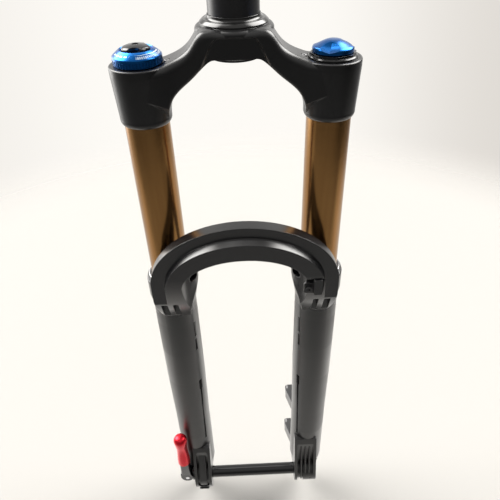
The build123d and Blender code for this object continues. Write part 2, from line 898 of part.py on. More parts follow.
def arch_outline(x_radius, rise, tip_x, y_front):
    """Front outline inside one curve of the arch, with straight sides down to the feet."""
    with BuildSketch(Plane.XZ.offset(y_front)) as outline:
        with BuildLine():
            EllipticalCenterArc((0, arch_z), x_radius, rise, start_angle=0, arc_size=180)
            Polyline(
                (-x_radius, arch_z),
                (-x_radius, collar_top - 4),
                (-tip_x, foot_tip),
                (tip_x, foot_tip),
                (x_radius, collar_top - 4),
                (x_radius, arch_z),
            )
        make_face()
    return outline.sketch


def arch_hollow(outer_x, outer_rise, y_rear):
    """Outline of the hollow behind the arch, one wall inside its curves."""
    with BuildSketch(Plane.XZ.offset(y_rear)) as hollow:
        for x_radius, rise, mode in (
            (outer_x - arch_wall, outer_rise - arch_wall, Mode.ADD),
            (wheel_half_width + arch_wall, wheel_rise + arch_wall, Mode.SUBTRACT),
        ):
            with BuildLine():
                EllipticalCenterArc((0, arch_z), x_radius, rise, start_angle=0, arc_size=180)
                Line((-x_radius, arch_z), (x_radius, arch_z))
            make_face(mode=mode)
    return hollow.sketch


def flare(side):
    """Inner wall of an arch foot, which swells towards the wheel and runs down on to the leg."""
    with BuildPart() as wall:
        with BuildSketch(Plane.XY.offset(foot_tip - 1)):
            with BuildLine():
                Line((wheel_half_width + arch_wall, -flare_front), (wheel_half_width, -flare_front))
                Spline(
                    (wheel_half_width, -flare_front),
                    (flare_x + 5.4, -flare_front + 15),
                    (flare_x, -flare_rear - 3),
                    (flare_x + 3.4, -flare_rear + 7),
                    tangents=[(-0.25, 1), (0.6, 1)],
                )
                Polyline((flare_x + 3.4, -flare_rear + 7), (leg_x - tube_r, leg_y), (leg_x, leg_y), (leg_x, -arch_rear))
                Line((leg_x, -arch_rear), (wheel_half_width + arch_wall, -flare_front))
            make_face()
        extrude(amount=leg_spacing)
        # seen from the front it narrows downwards
        with BuildSketch(Plane.XZ):
            with BuildLine():
                Polyline((leg_x, foot_tip), (flare_x + 12, foot_tip), (flare_x + 11, foot_tip + 3))
                Spline(
                    (flare_x + 11, foot_tip + 3),
                    (flare_x + 7, foot_tip + 24),
                    (flare_x + 1.2, foot_tip + 41),
                    (flare_x, foot_tip + flare_height),
                    tangents=[(-0.2, 1), (0, 1)],
                )
                Polyline((flare_x, foot_tip + flare_height), (flare_x + 3, foot_tip + flare_head))
                Polyline((flare_x + 3, foot_tip + flare_head), (leg_x, foot_tip + flare_head), (leg_x, foot_tip))
            make_face()
        extrude(amount=leg_spacing, mode=Mode.INTERSECT)
        # seen from the side it follows the foot, and its roof falls to the rear
        with BuildSketch(Plane.YZ):
            with BuildLine():
                Polyline(
                    (leg_y, foot_tip),
                    (leg_y, collar_top + 6),
                    (-flare_rear, collar_top + flare_roof_rear),
                    (-arch_rear - 2, collar_top + 27),
                    (-arch_front, collar_top + flare_roof_front),
                    (-arch_front, arch_z + foot_start),
                )
                ThreePointArc(
                    (-arch_front, arch_z + foot_start),
                    (-foot_middle_y, -foot_middle_z),
                    (foot_y, foot_tip),
                )
                Line((foot_y, foot_tip), (leg_y, foot_tip))
            make_face()
        extrude(amount=leg_spacing, mode=Mode.INTERSECT)
        # room for the wiper and for the crown boss at full travel
        with BuildSketch(Plane.XY.offset(collar_top)):
            with Locations((leg_x, leg_y)):
                Circle(boss_d / 2 + boss_clearance)
        extrude(amount=leg_spacing, mode=Mode.SUBTRACT)
        # oval pocket near the top
        with BuildSketch(
            Plane(
                origin=(flare_x + 4.0, -flare_front + 18, collar_top + 15),
                x_dir=(-0.40, 0.92, 0),
                z_dir=(-0.92, -0.40, 0),
            )
        ):
            Ellipse(pocket_width / 2, pocket_height / 2)
        extrude(amount=pocket_depth, both=True, mode=Mode.SUBTRACT)
    return wall.part if side > 0 else wall.part.mirror(Plane.YZ)


def across(side, start, end):
    """Start plane and signed depth of a cut or boss that runs outwards along the axle."""
    return cross_plane(side * start), side * (end - start)


foot_y = leg_y - leg_d / 2 + 0.2
with BuildPart() as lower_casting:
    # the arch is two bands with a sloping ledge between them, and its feet curve back on to the legs
    rear_outline = arch_outline(arch_half_width, arch_rise, foot_tip_half_width, crown_offset)
    extrude(rear_outline, arch_step - crown_offset)
    ledge_outline = arch_outline(ledge_half_width, ledge_rise, ledge_half_width, arch_step)
    front_outline = arch_outline(step_half_width, step_rise, step_half_width, arch_front)
    loft([ledge_outline.face(), front_outline.face()])
    # room for the wheel between the feet
    with BuildSketch(Plane.XZ):
        with BuildLine():
            EllipticalCenterArc((0, arch_z), wheel_half_width, wheel_rise, start_angle=0, arc_size=180)
            Polyline(
                (-wheel_half_width, arch_z),
                (-wheel_half_width + 2, foot_tip - 1),
                (wheel_half_width - 2, foot_tip - 1),
                (wheel_half_width, arch_z),
            )
        make_face()
    extrude(amount=leg_spacing, mode=Mode.SUBTRACT)
    with BuildSketch(Plane.YZ.offset(-leg_spacing)):
        with BuildLine():
            Polyline((leg_y, collar_top), (-arch_rear, collar_top), (-arch_rear, collar_top + leg_spacing))
            Line((-arch_rear, collar_top + leg_spacing), (-arch_front, collar_top + leg_spacing))
            Line((-arch_front, collar_top + leg_spacing), (-arch_front, arch_z + foot_start))
            ThreePointArc(
                (-arch_front, arch_z + foot_start),
                (-foot_middle_y, -foot_middle_z),
                (foot_y, foot_tip),
            )
            Polyline((foot_y, foot_tip), (leg_y, foot_tip), (leg_y, collar_top))
        make_face()
    extrude(amount=2 * leg_spacing, mode=Mode.INTERSECT)
    extrude(arch_hollow(arch_half_width, arch_rise, arch_rear), arch_step - arch_rear - 3, mode=Mode.SUBTRACT)
    extrude(arch_hollow(step_half_width, step_rise, arch_rear), arch_front - arch_rear - 4, mode=Mode.SUBTRACT)
    for side in (-1, 1):
        add(flare(side))
        # two slots leave three fins at the bottom of each foot
        for fin_x, fin_width in ((outer_slot_x, outer_slot_width), (inner_slot_x, inner_slot_width)):
            with BuildSketch(Plane.XZ.offset(slot_floor_y)):
                with Locations((side * fin_x, collar_top - slot_below_collar - slot_length / 2)):
                    RectangleRounded(fin_width, slot_length, 1.5)
            extrude(amount=hub_d, mode=Mode.SUBTRACT)
    # flat seat for the hose guide on the air side foot
    with BuildSketch(Plane.XZ.offset(guide_seat_y)):
        with Locations((guide_x, guide_z)):
            Rectangle(guide_width + 1.0, guide_height + 1.0)
    extrude(amount=hub_d, mode=Mode.SUBTRACT)
    with BuildSketch(Plane.XZ.offset(guide_seat_y - guide_screw_depth)):
        with Locations((ear_x, ear_z)):
            Circle(guide_screw_d / 2)
    extrude(amount=hub_d, mode=Mode.SUBTRACT)

    for side in (-1, 1):
        # the leg with its thicker collar
        with BuildSketch(leg_plane(side)):
            with BuildLine():
                Polyline(
                    (0, leg_end),
                    (leg_end_d / 2 - 2, leg_end),
                    (leg_end_d / 2, leg_end + 2),
                    (leg_foot_d / 2, bore_floor - 3),
                    (leg_foot_d / 2, collar_top - leg_straight - leg_taper),
                    (leg_d / 2, collar_top - leg_straight),
                    (leg_d / 2, collar_top - collar_height - 12),
                    (collar_d / 2, collar_top - collar_height),
                    (collar_d / 2, collar_top - 2.5),
                )
                RadiusArc((collar_d / 2, collar_top - 2.5), (collar_d / 2 - 2.5, collar_top), -2.5)
                Polyline((collar_d / 2 - 2.5, collar_top), (0, collar_top), (0, leg_end))
            make_face()
        revolve(axis=leg_axis(side))
        # the dropout: a wedge ahead of the leg that ends in the axle boss
        width = drop_widths[side]
        drop_r = drop_radii[side]
        hollow_top = hollow_tops[side]
        leg_front = crown_offset + leg_foot_d / 2 - axle_offset
        wedge_top = hollow_top + drop_lead_in
        plane, depth = across(side, hub_half, hub_half + width)
        with BuildSketch(plane):
            Polygon(
                (-leg_front, wedge_top),
                (-drop_r * 0.96, drop_r * 0.29),
                (-drop_r * 0.96, 0),
                (0, 0),
                (axle_offset - crown_offset, wedge_low),
                (axle_offset - crown_offset, wedge_top),
                align=None,
            )
            Circle(drop_r)
        extrude(amount=depth)
        # hollow between its two side plates, open to the front and rounded at its ends
        hollow_height = hollow_top - hollow_lows[side]
        with BuildSketch(Plane.XZ.offset(crown_offset + leg_foot_d / 2 + hollow_floor)):
            with Locations((side * (hub_half + width / 2), axle_z + hollow_top - hollow_height / 2)):
                RectangleRounded(width - 2 * drop_plate, hollow_height, hollow_corner)
        extrude(amount=hub_d, mode=Mode.SUBTRACT)
        plane, depth = across(side, hub_half + drop_plate, hub_half + width - drop_plate)
        with BuildSketch(plane):
            Circle(spool_radii[side])
        extrude(amount=depth)
        # ribs down the hollow and round the spool
        rib_width = rib_widths[side]
        rib_r = spool_radii[side] + rib_height
        for step in range(rib_counts[side]):
            rib_x = hub_half + drop_plate + (width - 2 * drop_plate) * (step + 1) / (rib_counts[side] + 1)
            plane, depth = across(side, rib_x - rib_width / 2, rib_x + rib_width / 2)
            with BuildSketch(plane):
                Polygon(
                    (-leg_front + 1, hollow_top - rib_lead_in),
                    (-leg_front - hollow_floor - 0.2, hollow_top - rib_lead_in),
                    (-rib_r, rib_r * 0.3),
                    (0, 0),
                    align=None,
                )
                Circle(rib_r)
            extrude(amount=depth)
    # the air side boss keeps its full size where it holds the axle nut
    plane, depth = across(1, hub_half + air_drop_width - nut_length - 1, hub_half + air_drop_width)
    with BuildSketch(plane):
        Circle(air_drop_r)
    extrude(amount=depth)
    # small tip under the front of the damper side boss, with a screw hole in it
    tip_out = (0, cos(radians(tip_angle)), sin(radians(tip_angle)))
    tip_plane = Plane(
        origin=(-hub_half - damper_drop_width / 2, axle_y, axle_z),
        x_dir=(1, 0, 0),
        z_dir=tip_out,
    )
    with BuildSketch(tip_plane.offset(damper_drop_d / 4)):
        RectangleRounded(tip_width, tip_depth, tip_round)
    extrude(amount=tip_reach - damper_drop_d / 4, taper=tip_draft)
    with BuildSketch(tip_plane.offset(tip_reach - tip_hole_depth)):
        Circle(tip_hole_d / 2)
    extrude(amount=damper_drop_d, mode=Mode.SUBTRACT)

    # brake posts behind the air side leg
    for post_z in (post_low_z, post_low_z + post_spacing):
        with BuildSketch(Plane.XZ.offset(-post_face_y)):
            with Locations((post_x, post_z)):
                RectangleRounded(post_d, post_d, post_round)
        extrude(amount=post_length)
        # its root, which runs forward into the leg
        with BuildSketch(Plane.XY.offset(post_z - post_d / 2)):
            Polygon(
                (post_x - post_d / 2, post_face_y - post_length + post_root),
                (post_x - post_d / 2, post_face_y - post_length),
                (leg_x - leg_foot_d / 2 + 1, leg_y),
                (leg_x, leg_y),
                (post_x + post_d / 2, post_face_y - post_length + post_root),
                align=None,
            )
        extrude(amount=post_d)
        with BuildSketch(Plane.XZ.offset(-post_face_y)):
            with Locations((post_x, post_z)):
                Circle(post_hole_d / 2)
        extrude(amount=post_hole_depth, mode=Mode.SUBTRACT)

    for side in (-1, 1):
        # bore down the leg: wiper seat, foam ring groove, two bushing seats and the foot
        with BuildSketch(leg_plane(side)):
            with BuildLine():
                Polyline(
                    (0, collar_top + 1),
                    (wiper_seat_r, collar_top + 1),
                    (wiper_seat_r, collar_top - wiper_seat_depth),
                    (foam_r, collar_top - wiper_seat_depth),
                    (foam_r, upper_bushing_top),
                    (seat_r, upper_bushing_top),
                    (seat_r, upper_bushing_top - bushing_height - 2),
                    (relief_r, upper_bushing_top - bushing_height - 4),
                    (relief_r, lower_bushing_top + 4),
                    (seat_r, lower_bushing_top + 2),
                    (seat_r, lower_bushing_low),
                    (bore_d / 2, lower_bushing_low),
                    (bore_d / 2, bore_floor),
                    (foot_bore_d / 2, bore_floor),
                    (foot_bore_d / 2, foot_floor),
                    (shaft_r + 0.1, foot_floor),
                    (shaft_r + 0.1, leg_end - 1),
                    (0, leg_end - 1),
                    close=True,
                )
            make_face()
        revolve(axis=leg_axis(side), mode=Mode.SUBTRACT)
        # axle bore
        plane, depth = across(side, hub_half - 1, hub_half + drop_widths[side] + 1)
        with BuildSketch(plane):
            Circle(axle_r + running_gap)
        extrude(amount=depth, mode=Mode.SUBTRACT)
    # seat of the steel washer, and room for the cam to turn, on the damper side
    washer_x = hub_half + damper_drop_width - washer_height
    plane, depth = across(-1, washer_x, washer_x + hub_d)
    with BuildSketch(plane):
        Circle(washer_d / 2)
    extrude(amount=depth, mode=Mode.SUBTRACT)
    plane, depth = across(-1, hub_half + damper_drop_width, hub_width)
    with BuildSketch(plane):
        Circle(cam_room_r)
    extrude(amount=depth, mode=Mode.SUBTRACT)
    # seat of the axle nut, open to the outside, on the air side
    nut_x = hub_half + air_drop_width - nut_length
    plane, depth = across(1, nut_x, nut_x + hub_d)
    with BuildSketch(plane):
        Circle(nut_d / 2)
    extrude(amount=depth, mode=Mode.SUBTRACT)
    # hole for the screw that keeps the nut from turning
    with BuildSketch(Plane.XZ.offset(axle_offset)):
        with Locations((nut_x + nut_length / 2, axle_z)):
            Circle(nut_screw_d / 2)
    extrude(amount=air_drop_r + 1, mode=Mode.SUBTRACT)
save(lower_casting.part, "lower_casting")


# ---------------------------------------------------------------- seals and bushings in the legs
wipe_r = tube_r + loose_gap
spring_wire = 1.0
for side, name in ((-1, "damper_dust_wiper"), (1, "air_dust_wiper")):
    wiper_outline = [
        (wipe_r + 1.4, collar_top - wiper_seat_depth),
        (wiper_seat_r, collar_top - wiper_seat_depth),
        (wiper_seat_r, collar_top),
        (wiper_seat_r + 0.4, collar_top),
        (wiper_seat_r + 0.4, collar_top + 1.2),
        (wiper_seat_r - 0.6, collar_top + 2.0),
        (wipe_r + 1.7, wiper_top - 1.8),
        (wipe_r + 1.7, wiper_top - 0.4),
        (wipe_r + 1.2, wiper_top),
        (wipe_r, wiper_top),
        (wipe_r, wiper_top - 1.5),
        (wipe_r + 1.4, collar_top - 1.0),
    ]
    save(turned(side, wiper_outline), name)

with BuildPart() as wiper_springs:
    for side in (-1, 1):
        with BuildSketch(leg_plane(side)):
            with Locations((wipe_r + 1.7 + spring_wire / 2, wiper_top - 1.1)):
                Circle(spring_wire / 2)
        revolve(axis=leg_axis(side))
save(wiper_springs.part, "wiper_springs")


def ring_pair(inner_r, outer_r, low, high):
    """The same ring in both legs."""
    with BuildPart() as pair:
        for side in (-1, 1):
            with BuildSketch(Plane.XY.offset(low)):
                with Locations((side * leg_x, leg_y)):
                    Circle(outer_r)
                    Circle(inner_r, mode=Mode.SUBTRACT)
            extrude(amount=high - low)
    return pair.part


foam_top = collar_top - wiper_seat_depth
bushing_bore_r = tube_r + running_gap
save(ring_pair(wipe_r, foam_r, foam_top - foam_height, foam_top), "foam_rings")
save(ring_pair(bushing_bore_r, seat_r, upper_bushing_top - bushing_height, upper_bushing_top), "upper_bushings")
save(ring_pair(bushing_bore_r, seat_r, lower_bushing_low, lower_bushing_top), "lower_bushings")


# ---------------------------------------------------------------- shafts that rise from the feet
stud_end = leg_end - stud_length
shoulder_r = foot_bore_d / 2 - 1.0
rod_r = rod_d / 2
for side, name, hollow_r, shaft_top in (
    (-1, "damper_shaft", rod_r + running_gap, rebound_low),
    (1, "air_shaft", 0.0, rebound_low),
):
    shaft_outline = [
        (hollow_r, stud_end),
        (shaft_r, stud_end),
        (shaft_r, foot_floor),
        (shoulder_r, foot_floor),
        (shoulder_r, foot_floor + foot_shoulder),
        (shaft_r, foot_floor + foot_shoulder + 1.5),
        (shaft_r, shaft_top),
        (hollow_r, shaft_top),
    ]
    save(turned(side, shaft_outline), name)

# pistons: the rebound piston runs in the cartridge, the air piston in the tube itself
band_depth = 1.2
rebound_r = socket_r - loose_gap
save(
    turned(
        -1,
        [
            (rod_r + running_gap, rebound_low),
            (rebound_r, rebound_low),
            (rebound_r, rebound_low + 4),
            (rebound_r - band_depth, rebound_low + 4),
            (rebound_r - band_depth, rebound_top - 4),
            (rebound_r, rebound_top - 4),
            (rebound_r, rebound_top),
            (rod_r + running_gap, rebound_top),
        ],
    ),
    "rebound_piston",
)
save(
    turned(-1, ring_outline(rebound_r - band_depth, socket_r - running_gap, rebound_low + 4, rebound_top - 4)),
    "piston_band",
)
with BuildPart() as rebound_shims:
    for step in range(shim_count):
        shim_z = rebound_top + step * shim_pitch
        with BuildSketch(leg_plane(-1)):
            with Locations(((rod_r + running_gap + rebound_r - 2 - step) / 2, shim_z + shim_height / 2)):
                Rectangle(rebound_r - 2 - step - rod_r - running_gap, shim_height)
        revolve(axis=leg_axis(-1))
save(rebound_shims.part, "rebound_shims")

air_piston_r = tube_bore_r - loose_gap
save(
    turned(
        1,
        [
            (0, rebound_low),
            (air_piston_r, rebound_low),
            (air_piston_r, rebound_low + 3),
            (air_piston_r - band_depth - 1, rebound_low + 3),
            (air_piston_r - band_depth - 1, rebound_low + 6),
            (air_piston_r, rebound_low + 6),
            (air_piston_r, rebound_low + 8),
            (air_piston_r - band_depth, rebound_low + 8),
            (air_piston_r - band_depth, rebound_top - 2),
            (air_piston_r, rebound_top - 2),
            (air_piston_r, rebound_top),
            (0, rebound_top),
        ],
    ),
    "air_piston",
)
with BuildPart() as air_piston_seals:
    for inner_r, low, high in (
        (air_piston_r - band_depth - 1, rebound_low + 3, rebound_low + 6),
        (air_piston_r - band_depth, rebound_low + 8, rebound_top - 2),
    ):
        with BuildSketch(Plane.XY.offset(low)):
            with Locations((leg_x, leg_y)):
                Circle(tube_bore_r - running_gap)
                Circle(inner_r, mode=Mode.SUBTRACT)
        extrude(amount=high - low)
save(air_piston_seals.part, "air_piston_seals")

# rubber bumpers: under the pistons for top-out, on the feet for bottom-out
bumper_r = shaft_r + 4.0
save(ring_pair(shaft_r, bumper_r, head_top + loose_gap, rebound_low), "top_out_bumpers")
bottom_bumper_top = tube_bottom - travel
save(
    ring_pair(shaft_r, foot_bore_d / 2 - 0.2, bore_floor - bumper_height, bottom_bumper_top - loose_gap),
    "bottom_out_bumpers",
)


# ---------------------------------------------------------------- foot fixings and rebound adjuster
save(ring_pair(shaft_r, nut_across / 2 - 1.0, leg_end - washer_thickness, leg_end), "crush_washers")
with BuildPart() as foot_nuts:
    for side in (-1, 1):
        with BuildSketch(Plane.XY.offset(leg_end - washer_thickness - foot_nut_height)):
            with Locations((side * leg_x, leg_y)):
                RegularPolygon(nut_across / 2, 6, major_radius=False)
                Circle(shaft_r, mode=Mode.SUBTRACT)
        extrude(amount=foot_nut_height)
save(foot_nuts.part, "foot_nuts")

rebound_knob_top = stud_end - loose_gap
with BuildPart() as rebound_knob:
    with BuildSketch(leg_plane(-1)):
        with BuildLine():
            knob_r = rebound_knob_d / 2
            Polyline(
                (rod_r, rebound_knob_top - rebound_knob_height),
                (knob_r - 1, rebound_knob_top - rebound_knob_height),
                (knob_r, rebound_knob_top - rebound_knob_height + 1),
                (knob_r, rebound_knob_top - 1),
                (knob_r - 1, rebound_knob_top),
                (rod_r, rebound_knob_top),
                close=True,
            )
        make_face()
    revolve(axis=leg_axis(-1))
    with BuildSketch(Plane.XY.offset(rebound_knob_top)):
        with Locations((-leg_x, leg_y)):
            with PolarLocations(knob_r + 0.6, 16):
                Circle(1.3)
    extrude(amount=-rebound_knob_height, mode=Mode.SUBTRACT)
save(rebound_knob.part, "rebound_knob")
save(
    turned(-1, ring_outline(0, rod_r, rebound_knob_top - rebound_knob_height, rebound_low + 4)),
    "rebound_rod",
)


# ---------------------------------------------------------------- through axle and its lever
def axle_turned(points):
    """Piece turned about the through axle, from its (x, radius) outline."""
    with BuildPart() as piece:
        with BuildSketch(Plane(origin=(0, axle_y, axle_z), x_dir=(1, 0, 0), z_dir=(0, -1, 0))):
            with BuildLine():
                Polyline(*points, close=True)
            make_face()
        revolve(axis=Axis((0, axle_y, axle_z), (1, 0, 0)))
    return piece.part


def side_ring(inner_r, outer_r, start, end):
    """Plain ring round the through axle."""
    return axle_turned([(start, inner_r), (start, outer_r), (end, outer_r), (end, inner_r)])


drop_face = -(hub_half + damper_drop_width)
save(side_ring(axle_r + running_gap, washer_d / 2, drop_face, drop_face + washer_height), "dropout_washer")

collar_outer = drop_face - loose_gap - axle_collar_width
save(side_ring(axle_r + running_gap, axle_collar_d / 2, collar_outer, drop_face - loose_gap), "axle_collar")

pivot_x = collar_outer - loose_gap - cam_d / 2
tongue = cam_width / 2
nut_inner_x = hub_half + air_drop_width - nut_length
with BuildPart() as axle_shaft:
    with BuildSketch(Plane(origin=(0, axle_y, axle_z), x_dir=(1, 0, 0), z_dir=(0, -1, 0))):
        with BuildLine():
            thread_r = axle_r - 0.5
            Polyline(
                (collar_outer, axle_bore_d / 2),
                (collar_outer, axle_r),
                (nut_inner_x - 2, axle_r),
                (nut_inner_x - 1, thread_r),
                (nut_inner_x + nut_length - 3, thread_r),
                (nut_inner_x + nut_length - 2, thread_r - 1),
                (nut_inner_x + nut_length - 2, axle_bore_d / 2),
                close=True,
            )
        make_face()
    revolve(axis=Axis((0, axle_y, axle_z), (1, 0, 0)))
    # flat tongue that the cam straddles
    with BuildSketch(Plane.XZ.offset(axle_offset - tongue / 2)):
        with Locations((pivot_x, axle_z)):
            Circle(cam_d / 2 - 1.6)
        with Locations(((pivot_x + collar_outer) / 2 + 3, axle_z)):
            Rectangle(collar_outer - pivot_x + 6, cam_d - 4)
    extrude(amount=tongue)
    with BuildSketch(Plane.XZ.offset(axle_offset - cam_width)):
        with Locations((pivot_x, axle_z)):
            Circle(pivot_pin_d / 2)
    extrude(amount=2 * cam_width, mode=Mode.SUBTRACT)
save(axle_shaft.part, "axle_shaft")

with BuildPart() as cam_pivot_pin:
    with BuildSketch(Plane.XZ.offset(axle_offset - cam_width / 2 - 0.3)):
        with Locations((pivot_x, axle_z)):
            Circle(pivot_pin_d / 2)
    extrude(amount=cam_width + 0.6)
save(cam_pivot_pin.part, "cam_pivot_pin")

# the lever: a round cam whose two ears straddle the tongue, and an arm that leans outwards
lever_x = pivot_x - lever_lean
arm_low = axle_z + cam_d / 2 + 0.6
sleeve_low = axle_z + sleeve_start
sleeve_top = axle_z + lever_length
lever_y = axle_y - lever_forward
with BuildPart() as cam_lever:
    with BuildSketch(Plane.XZ.offset(axle_offset - cam_width / 2)):
        with Locations((pivot_x, axle_z)):
            Circle(cam_d / 2)
        with BuildLine():
            Polyline(
                (pivot_x + cam_d / 2 - 0.3, axle_z + 1),
                (pivot_x + cam_d / 2 - 2.5, arm_low),
                (pivot_x - cam_d / 2 - 1.2, arm_low),
                (pivot_x - cam_d / 2 - 1.2, axle_z + 1),
                (pivot_x - cam_d / 2 + 0.4, axle_z - 3),
                (pivot_x, axle_z),
                close=True,
            )
        make_face()
    extrude(amount=cam_width)
    with BuildSketch(Plane.XY.offset(arm_low)) as arm_foot:
        with Locations(((lever_x + pivot_x) / 2 - 0.6, axle_y - arm_foot_forward)):
            RectangleRounded(cam_d - 1.0, arm_depth, 2.5)
    with BuildSketch(Plane.XY.offset(sleeve_low)) as arm_neck:
        with Locations((lever_x, lever_y)):
            RectangleRounded(arm_width, arm_depth - 2, 2.5)
    loft()
    with BuildSketch(Plane.XY.offset(sleeve_low)):
        with Locations((lever_x, lever_y)):
            Circle(core_d / 2)
    extrude(amount=sleeve_top - sleeve_low - 8)
    # slot for the tongue
    with BuildSketch(Plane.XZ.offset(axle_offset - tongue / 2 - loose_gap)):
        with Locations((pivot_x, axle_z + cam_d / 2 - slot_web)):
            Rectangle(cam_d * 2, cam_d * 2, align=(Align.CENTER, Align.MAX))
    extrude(amount=tongue + 2 * loose_gap, mode=Mode.SUBTRACT)
    with BuildSketch(Plane.XZ.offset(axle_offset - cam_width)):
        with Locations((pivot_x, axle_z)):
            Circle(pivot_pin_d / 2 + running_gap)
    extrude(amount=2 * cam_width, mode=Mode.SUBTRACT)
save(cam_lever.part, "cam_lever")

with BuildPart() as lever_sleeve:
    lever_plane = Plane(origin=(lever_x, lever_y, 0), x_dir=(1, 0, 0), z_dir=(0, -1, 0))
    with BuildSketch(lever_plane):
        with BuildLine():
            sleeve_r = sleeve_d / 2
            core_r = core_d / 2
            Polyline((core_r, sleeve_low), (sleeve_r - 1.2, sleeve_low), (sleeve_r - 0.3, sleeve_low + 1.5))
            Spline(
                (sleeve_r - 0.3, sleeve_low + 1.5),
                (sleeve_r - 1.4, (sleeve_low + sleeve_top) / 2 + 6),
                (sleeve_r, sleeve_top - 8),
                tangents=[(0, 1), (0.05, 1)],
            )
            Spline(
                (sleeve_r, sleeve_top - 8),
                (sleeve_r - 2.2, sleeve_top - 2),
                (0, sleeve_top),
                tangents=[(0.05, 1), (-1, 0)],
            )
            Polyline((0, sleeve_top), (0, sleeve_top - 8), (core_r, sleeve_top - 8), (core_r, sleeve_low))
        make_face()
    revolve(axis=Axis((lever_x, lever_y, 0), (0, 0, 1)))
save(lever_sleeve.part, "lever_sleeve")

with BuildPart() as axle_nut:
    with BuildSketch(cross_plane(nut_inner_x)):
        Circle(nut_d / 2)
        Circle(axle_r - 0.5 + running_gap, mode=Mode.SUBTRACT)
    extrude(amount=nut_length)
    with BuildSketch(cross_plane(nut_inner_x + nut_length - 3)):
        with PolarLocations(nut_d / 2, 6, start_angle=30):
            Circle(1.8)
    extrude(amount=3, mode=Mode.SUBTRACT)
    with BuildSketch(Plane.XZ.offset(axle_offset + nut_d / 2 - 1.5)):
        with Locations((nut_inner_x + nut_length / 2, axle_z)):
            Circle(nut_screw_d / 2)
    extrude(amount=3, mode=Mode.SUBTRACT)
save(axle_nut.part, "axle_nut")

with BuildPart() as axle_nut_screw:
    with BuildSketch(Plane.XZ.offset(axle_offset + nut_d / 2 - 1.5)):
        with Locations((nut_inner_x + nut_length / 2, axle_z)):
            Circle(nut_screw_d / 2)
    extrude(amount=air_drop_r - nut_d / 2 + 1.2)
    with BuildSketch(Plane.XZ.offset(axle_offset + air_drop_r - 1.3)):
        with Locations((nut_inner_x + nut_length / 2, axle_z)):
            RegularPolygon(0.8, 6)
    extrude(amount=1.2, mode=Mode.SUBTRACT)
save(axle_nut_screw.part, "axle_nut_screw")


# ---------------------------------------------------------------- brake hose guide
clip_r = hose_d / 2 + guide_wall
clip_x = guide_x + guide_width / 2 - clip_r
clip_y = guide_seat_y + hose_lift
with BuildPart() as hose_guide:
    with BuildSketch(Plane.XZ.offset(guide_seat_y)):
        with Locations((clip_x, guide_z)):
            RectangleRounded(2 * clip_r, guide_height, guide_round)
    extrude(amount=guide_depth, taper=guide_draft)
    with BuildSketch(Plane.XZ.offset(guide_seat_y)):
        with Locations((guide_x, ear_z)):
            RectangleRounded(guide_width, guide_base_height, guide_round)
    extrude(amount=guide_base_depth)
    with BuildSketch(Plane.XZ.offset(guide_seat_y)):
        with Locations((ear_x, ear_z)):
            Circle(guide_ear_d / 2)
    extrude(amount=guide_ear_height)
    # closed channel for the hose
    with BuildSketch(Plane.XY.offset(guide_z - guide_height)):
        with Locations((clip_x, -clip_y)):
            Circle(hose_d / 2)
    extrude(amount=2 * guide_height, mode=Mode.SUBTRACT)
    with BuildSketch(Plane.XZ.offset(guide_seat_y)):
        with Locations((ear_x, ear_z)):
            Circle(guide_screw_d / 2)
    extrude(amount=guide_ear_height, mode=Mode.SUBTRACT)
save(hose_guide.part, "hose_guide")

guide_head_y = guide_seat_y + guide_ear_height
with BuildPart() as hose_guide_screw:
    with BuildSketch(Plane.XZ.offset(guide_seat_y - guide_screw_depth)):
        with Locations((ear_x, ear_z)):
            Circle(guide_screw_d / 2)
    extrude(amount=guide_screw_depth + guide_ear_height)
    with BuildSketch(Plane.XZ.offset(guide_head_y)):
        with Locations((ear_x, ear_z)):
            Circle(guide_screw_head_d / 2)
    extrude(amount=1.8)
    with BuildSketch(Plane.XZ.offset(guide_head_y + 0.6)):
        with Locations((ear_x, ear_z)):
            RegularPolygon(1.3, 6)
    extrude(amount=1.2, mode=Mode.SUBTRACT)
save(hose_guide_screw.part, "hose_guide_screw")
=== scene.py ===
import json
import math

import bmesh
import bpy
from mathutils import Matrix, Vector


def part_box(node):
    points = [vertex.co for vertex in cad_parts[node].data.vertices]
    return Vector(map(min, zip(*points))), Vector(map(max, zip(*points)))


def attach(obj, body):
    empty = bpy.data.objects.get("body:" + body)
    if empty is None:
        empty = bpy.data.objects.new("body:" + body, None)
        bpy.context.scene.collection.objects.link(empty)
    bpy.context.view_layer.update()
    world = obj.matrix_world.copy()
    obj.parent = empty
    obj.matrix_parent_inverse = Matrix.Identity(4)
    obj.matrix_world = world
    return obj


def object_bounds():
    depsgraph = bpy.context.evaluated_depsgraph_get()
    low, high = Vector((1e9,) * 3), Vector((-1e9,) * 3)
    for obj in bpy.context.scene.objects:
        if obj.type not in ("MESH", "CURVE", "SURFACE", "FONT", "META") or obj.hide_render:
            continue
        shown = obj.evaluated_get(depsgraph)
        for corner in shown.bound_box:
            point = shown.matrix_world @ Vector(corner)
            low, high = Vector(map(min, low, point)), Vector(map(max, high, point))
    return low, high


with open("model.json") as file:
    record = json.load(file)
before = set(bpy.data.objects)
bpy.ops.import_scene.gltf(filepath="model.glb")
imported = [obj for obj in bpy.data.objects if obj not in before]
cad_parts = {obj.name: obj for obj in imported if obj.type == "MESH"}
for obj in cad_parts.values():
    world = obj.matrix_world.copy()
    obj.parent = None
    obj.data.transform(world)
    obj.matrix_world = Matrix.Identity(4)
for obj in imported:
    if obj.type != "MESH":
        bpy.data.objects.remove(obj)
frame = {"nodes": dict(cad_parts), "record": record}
cadLow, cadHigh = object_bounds()
print("frame loaded:", len(frame["nodes"]), "nodes")


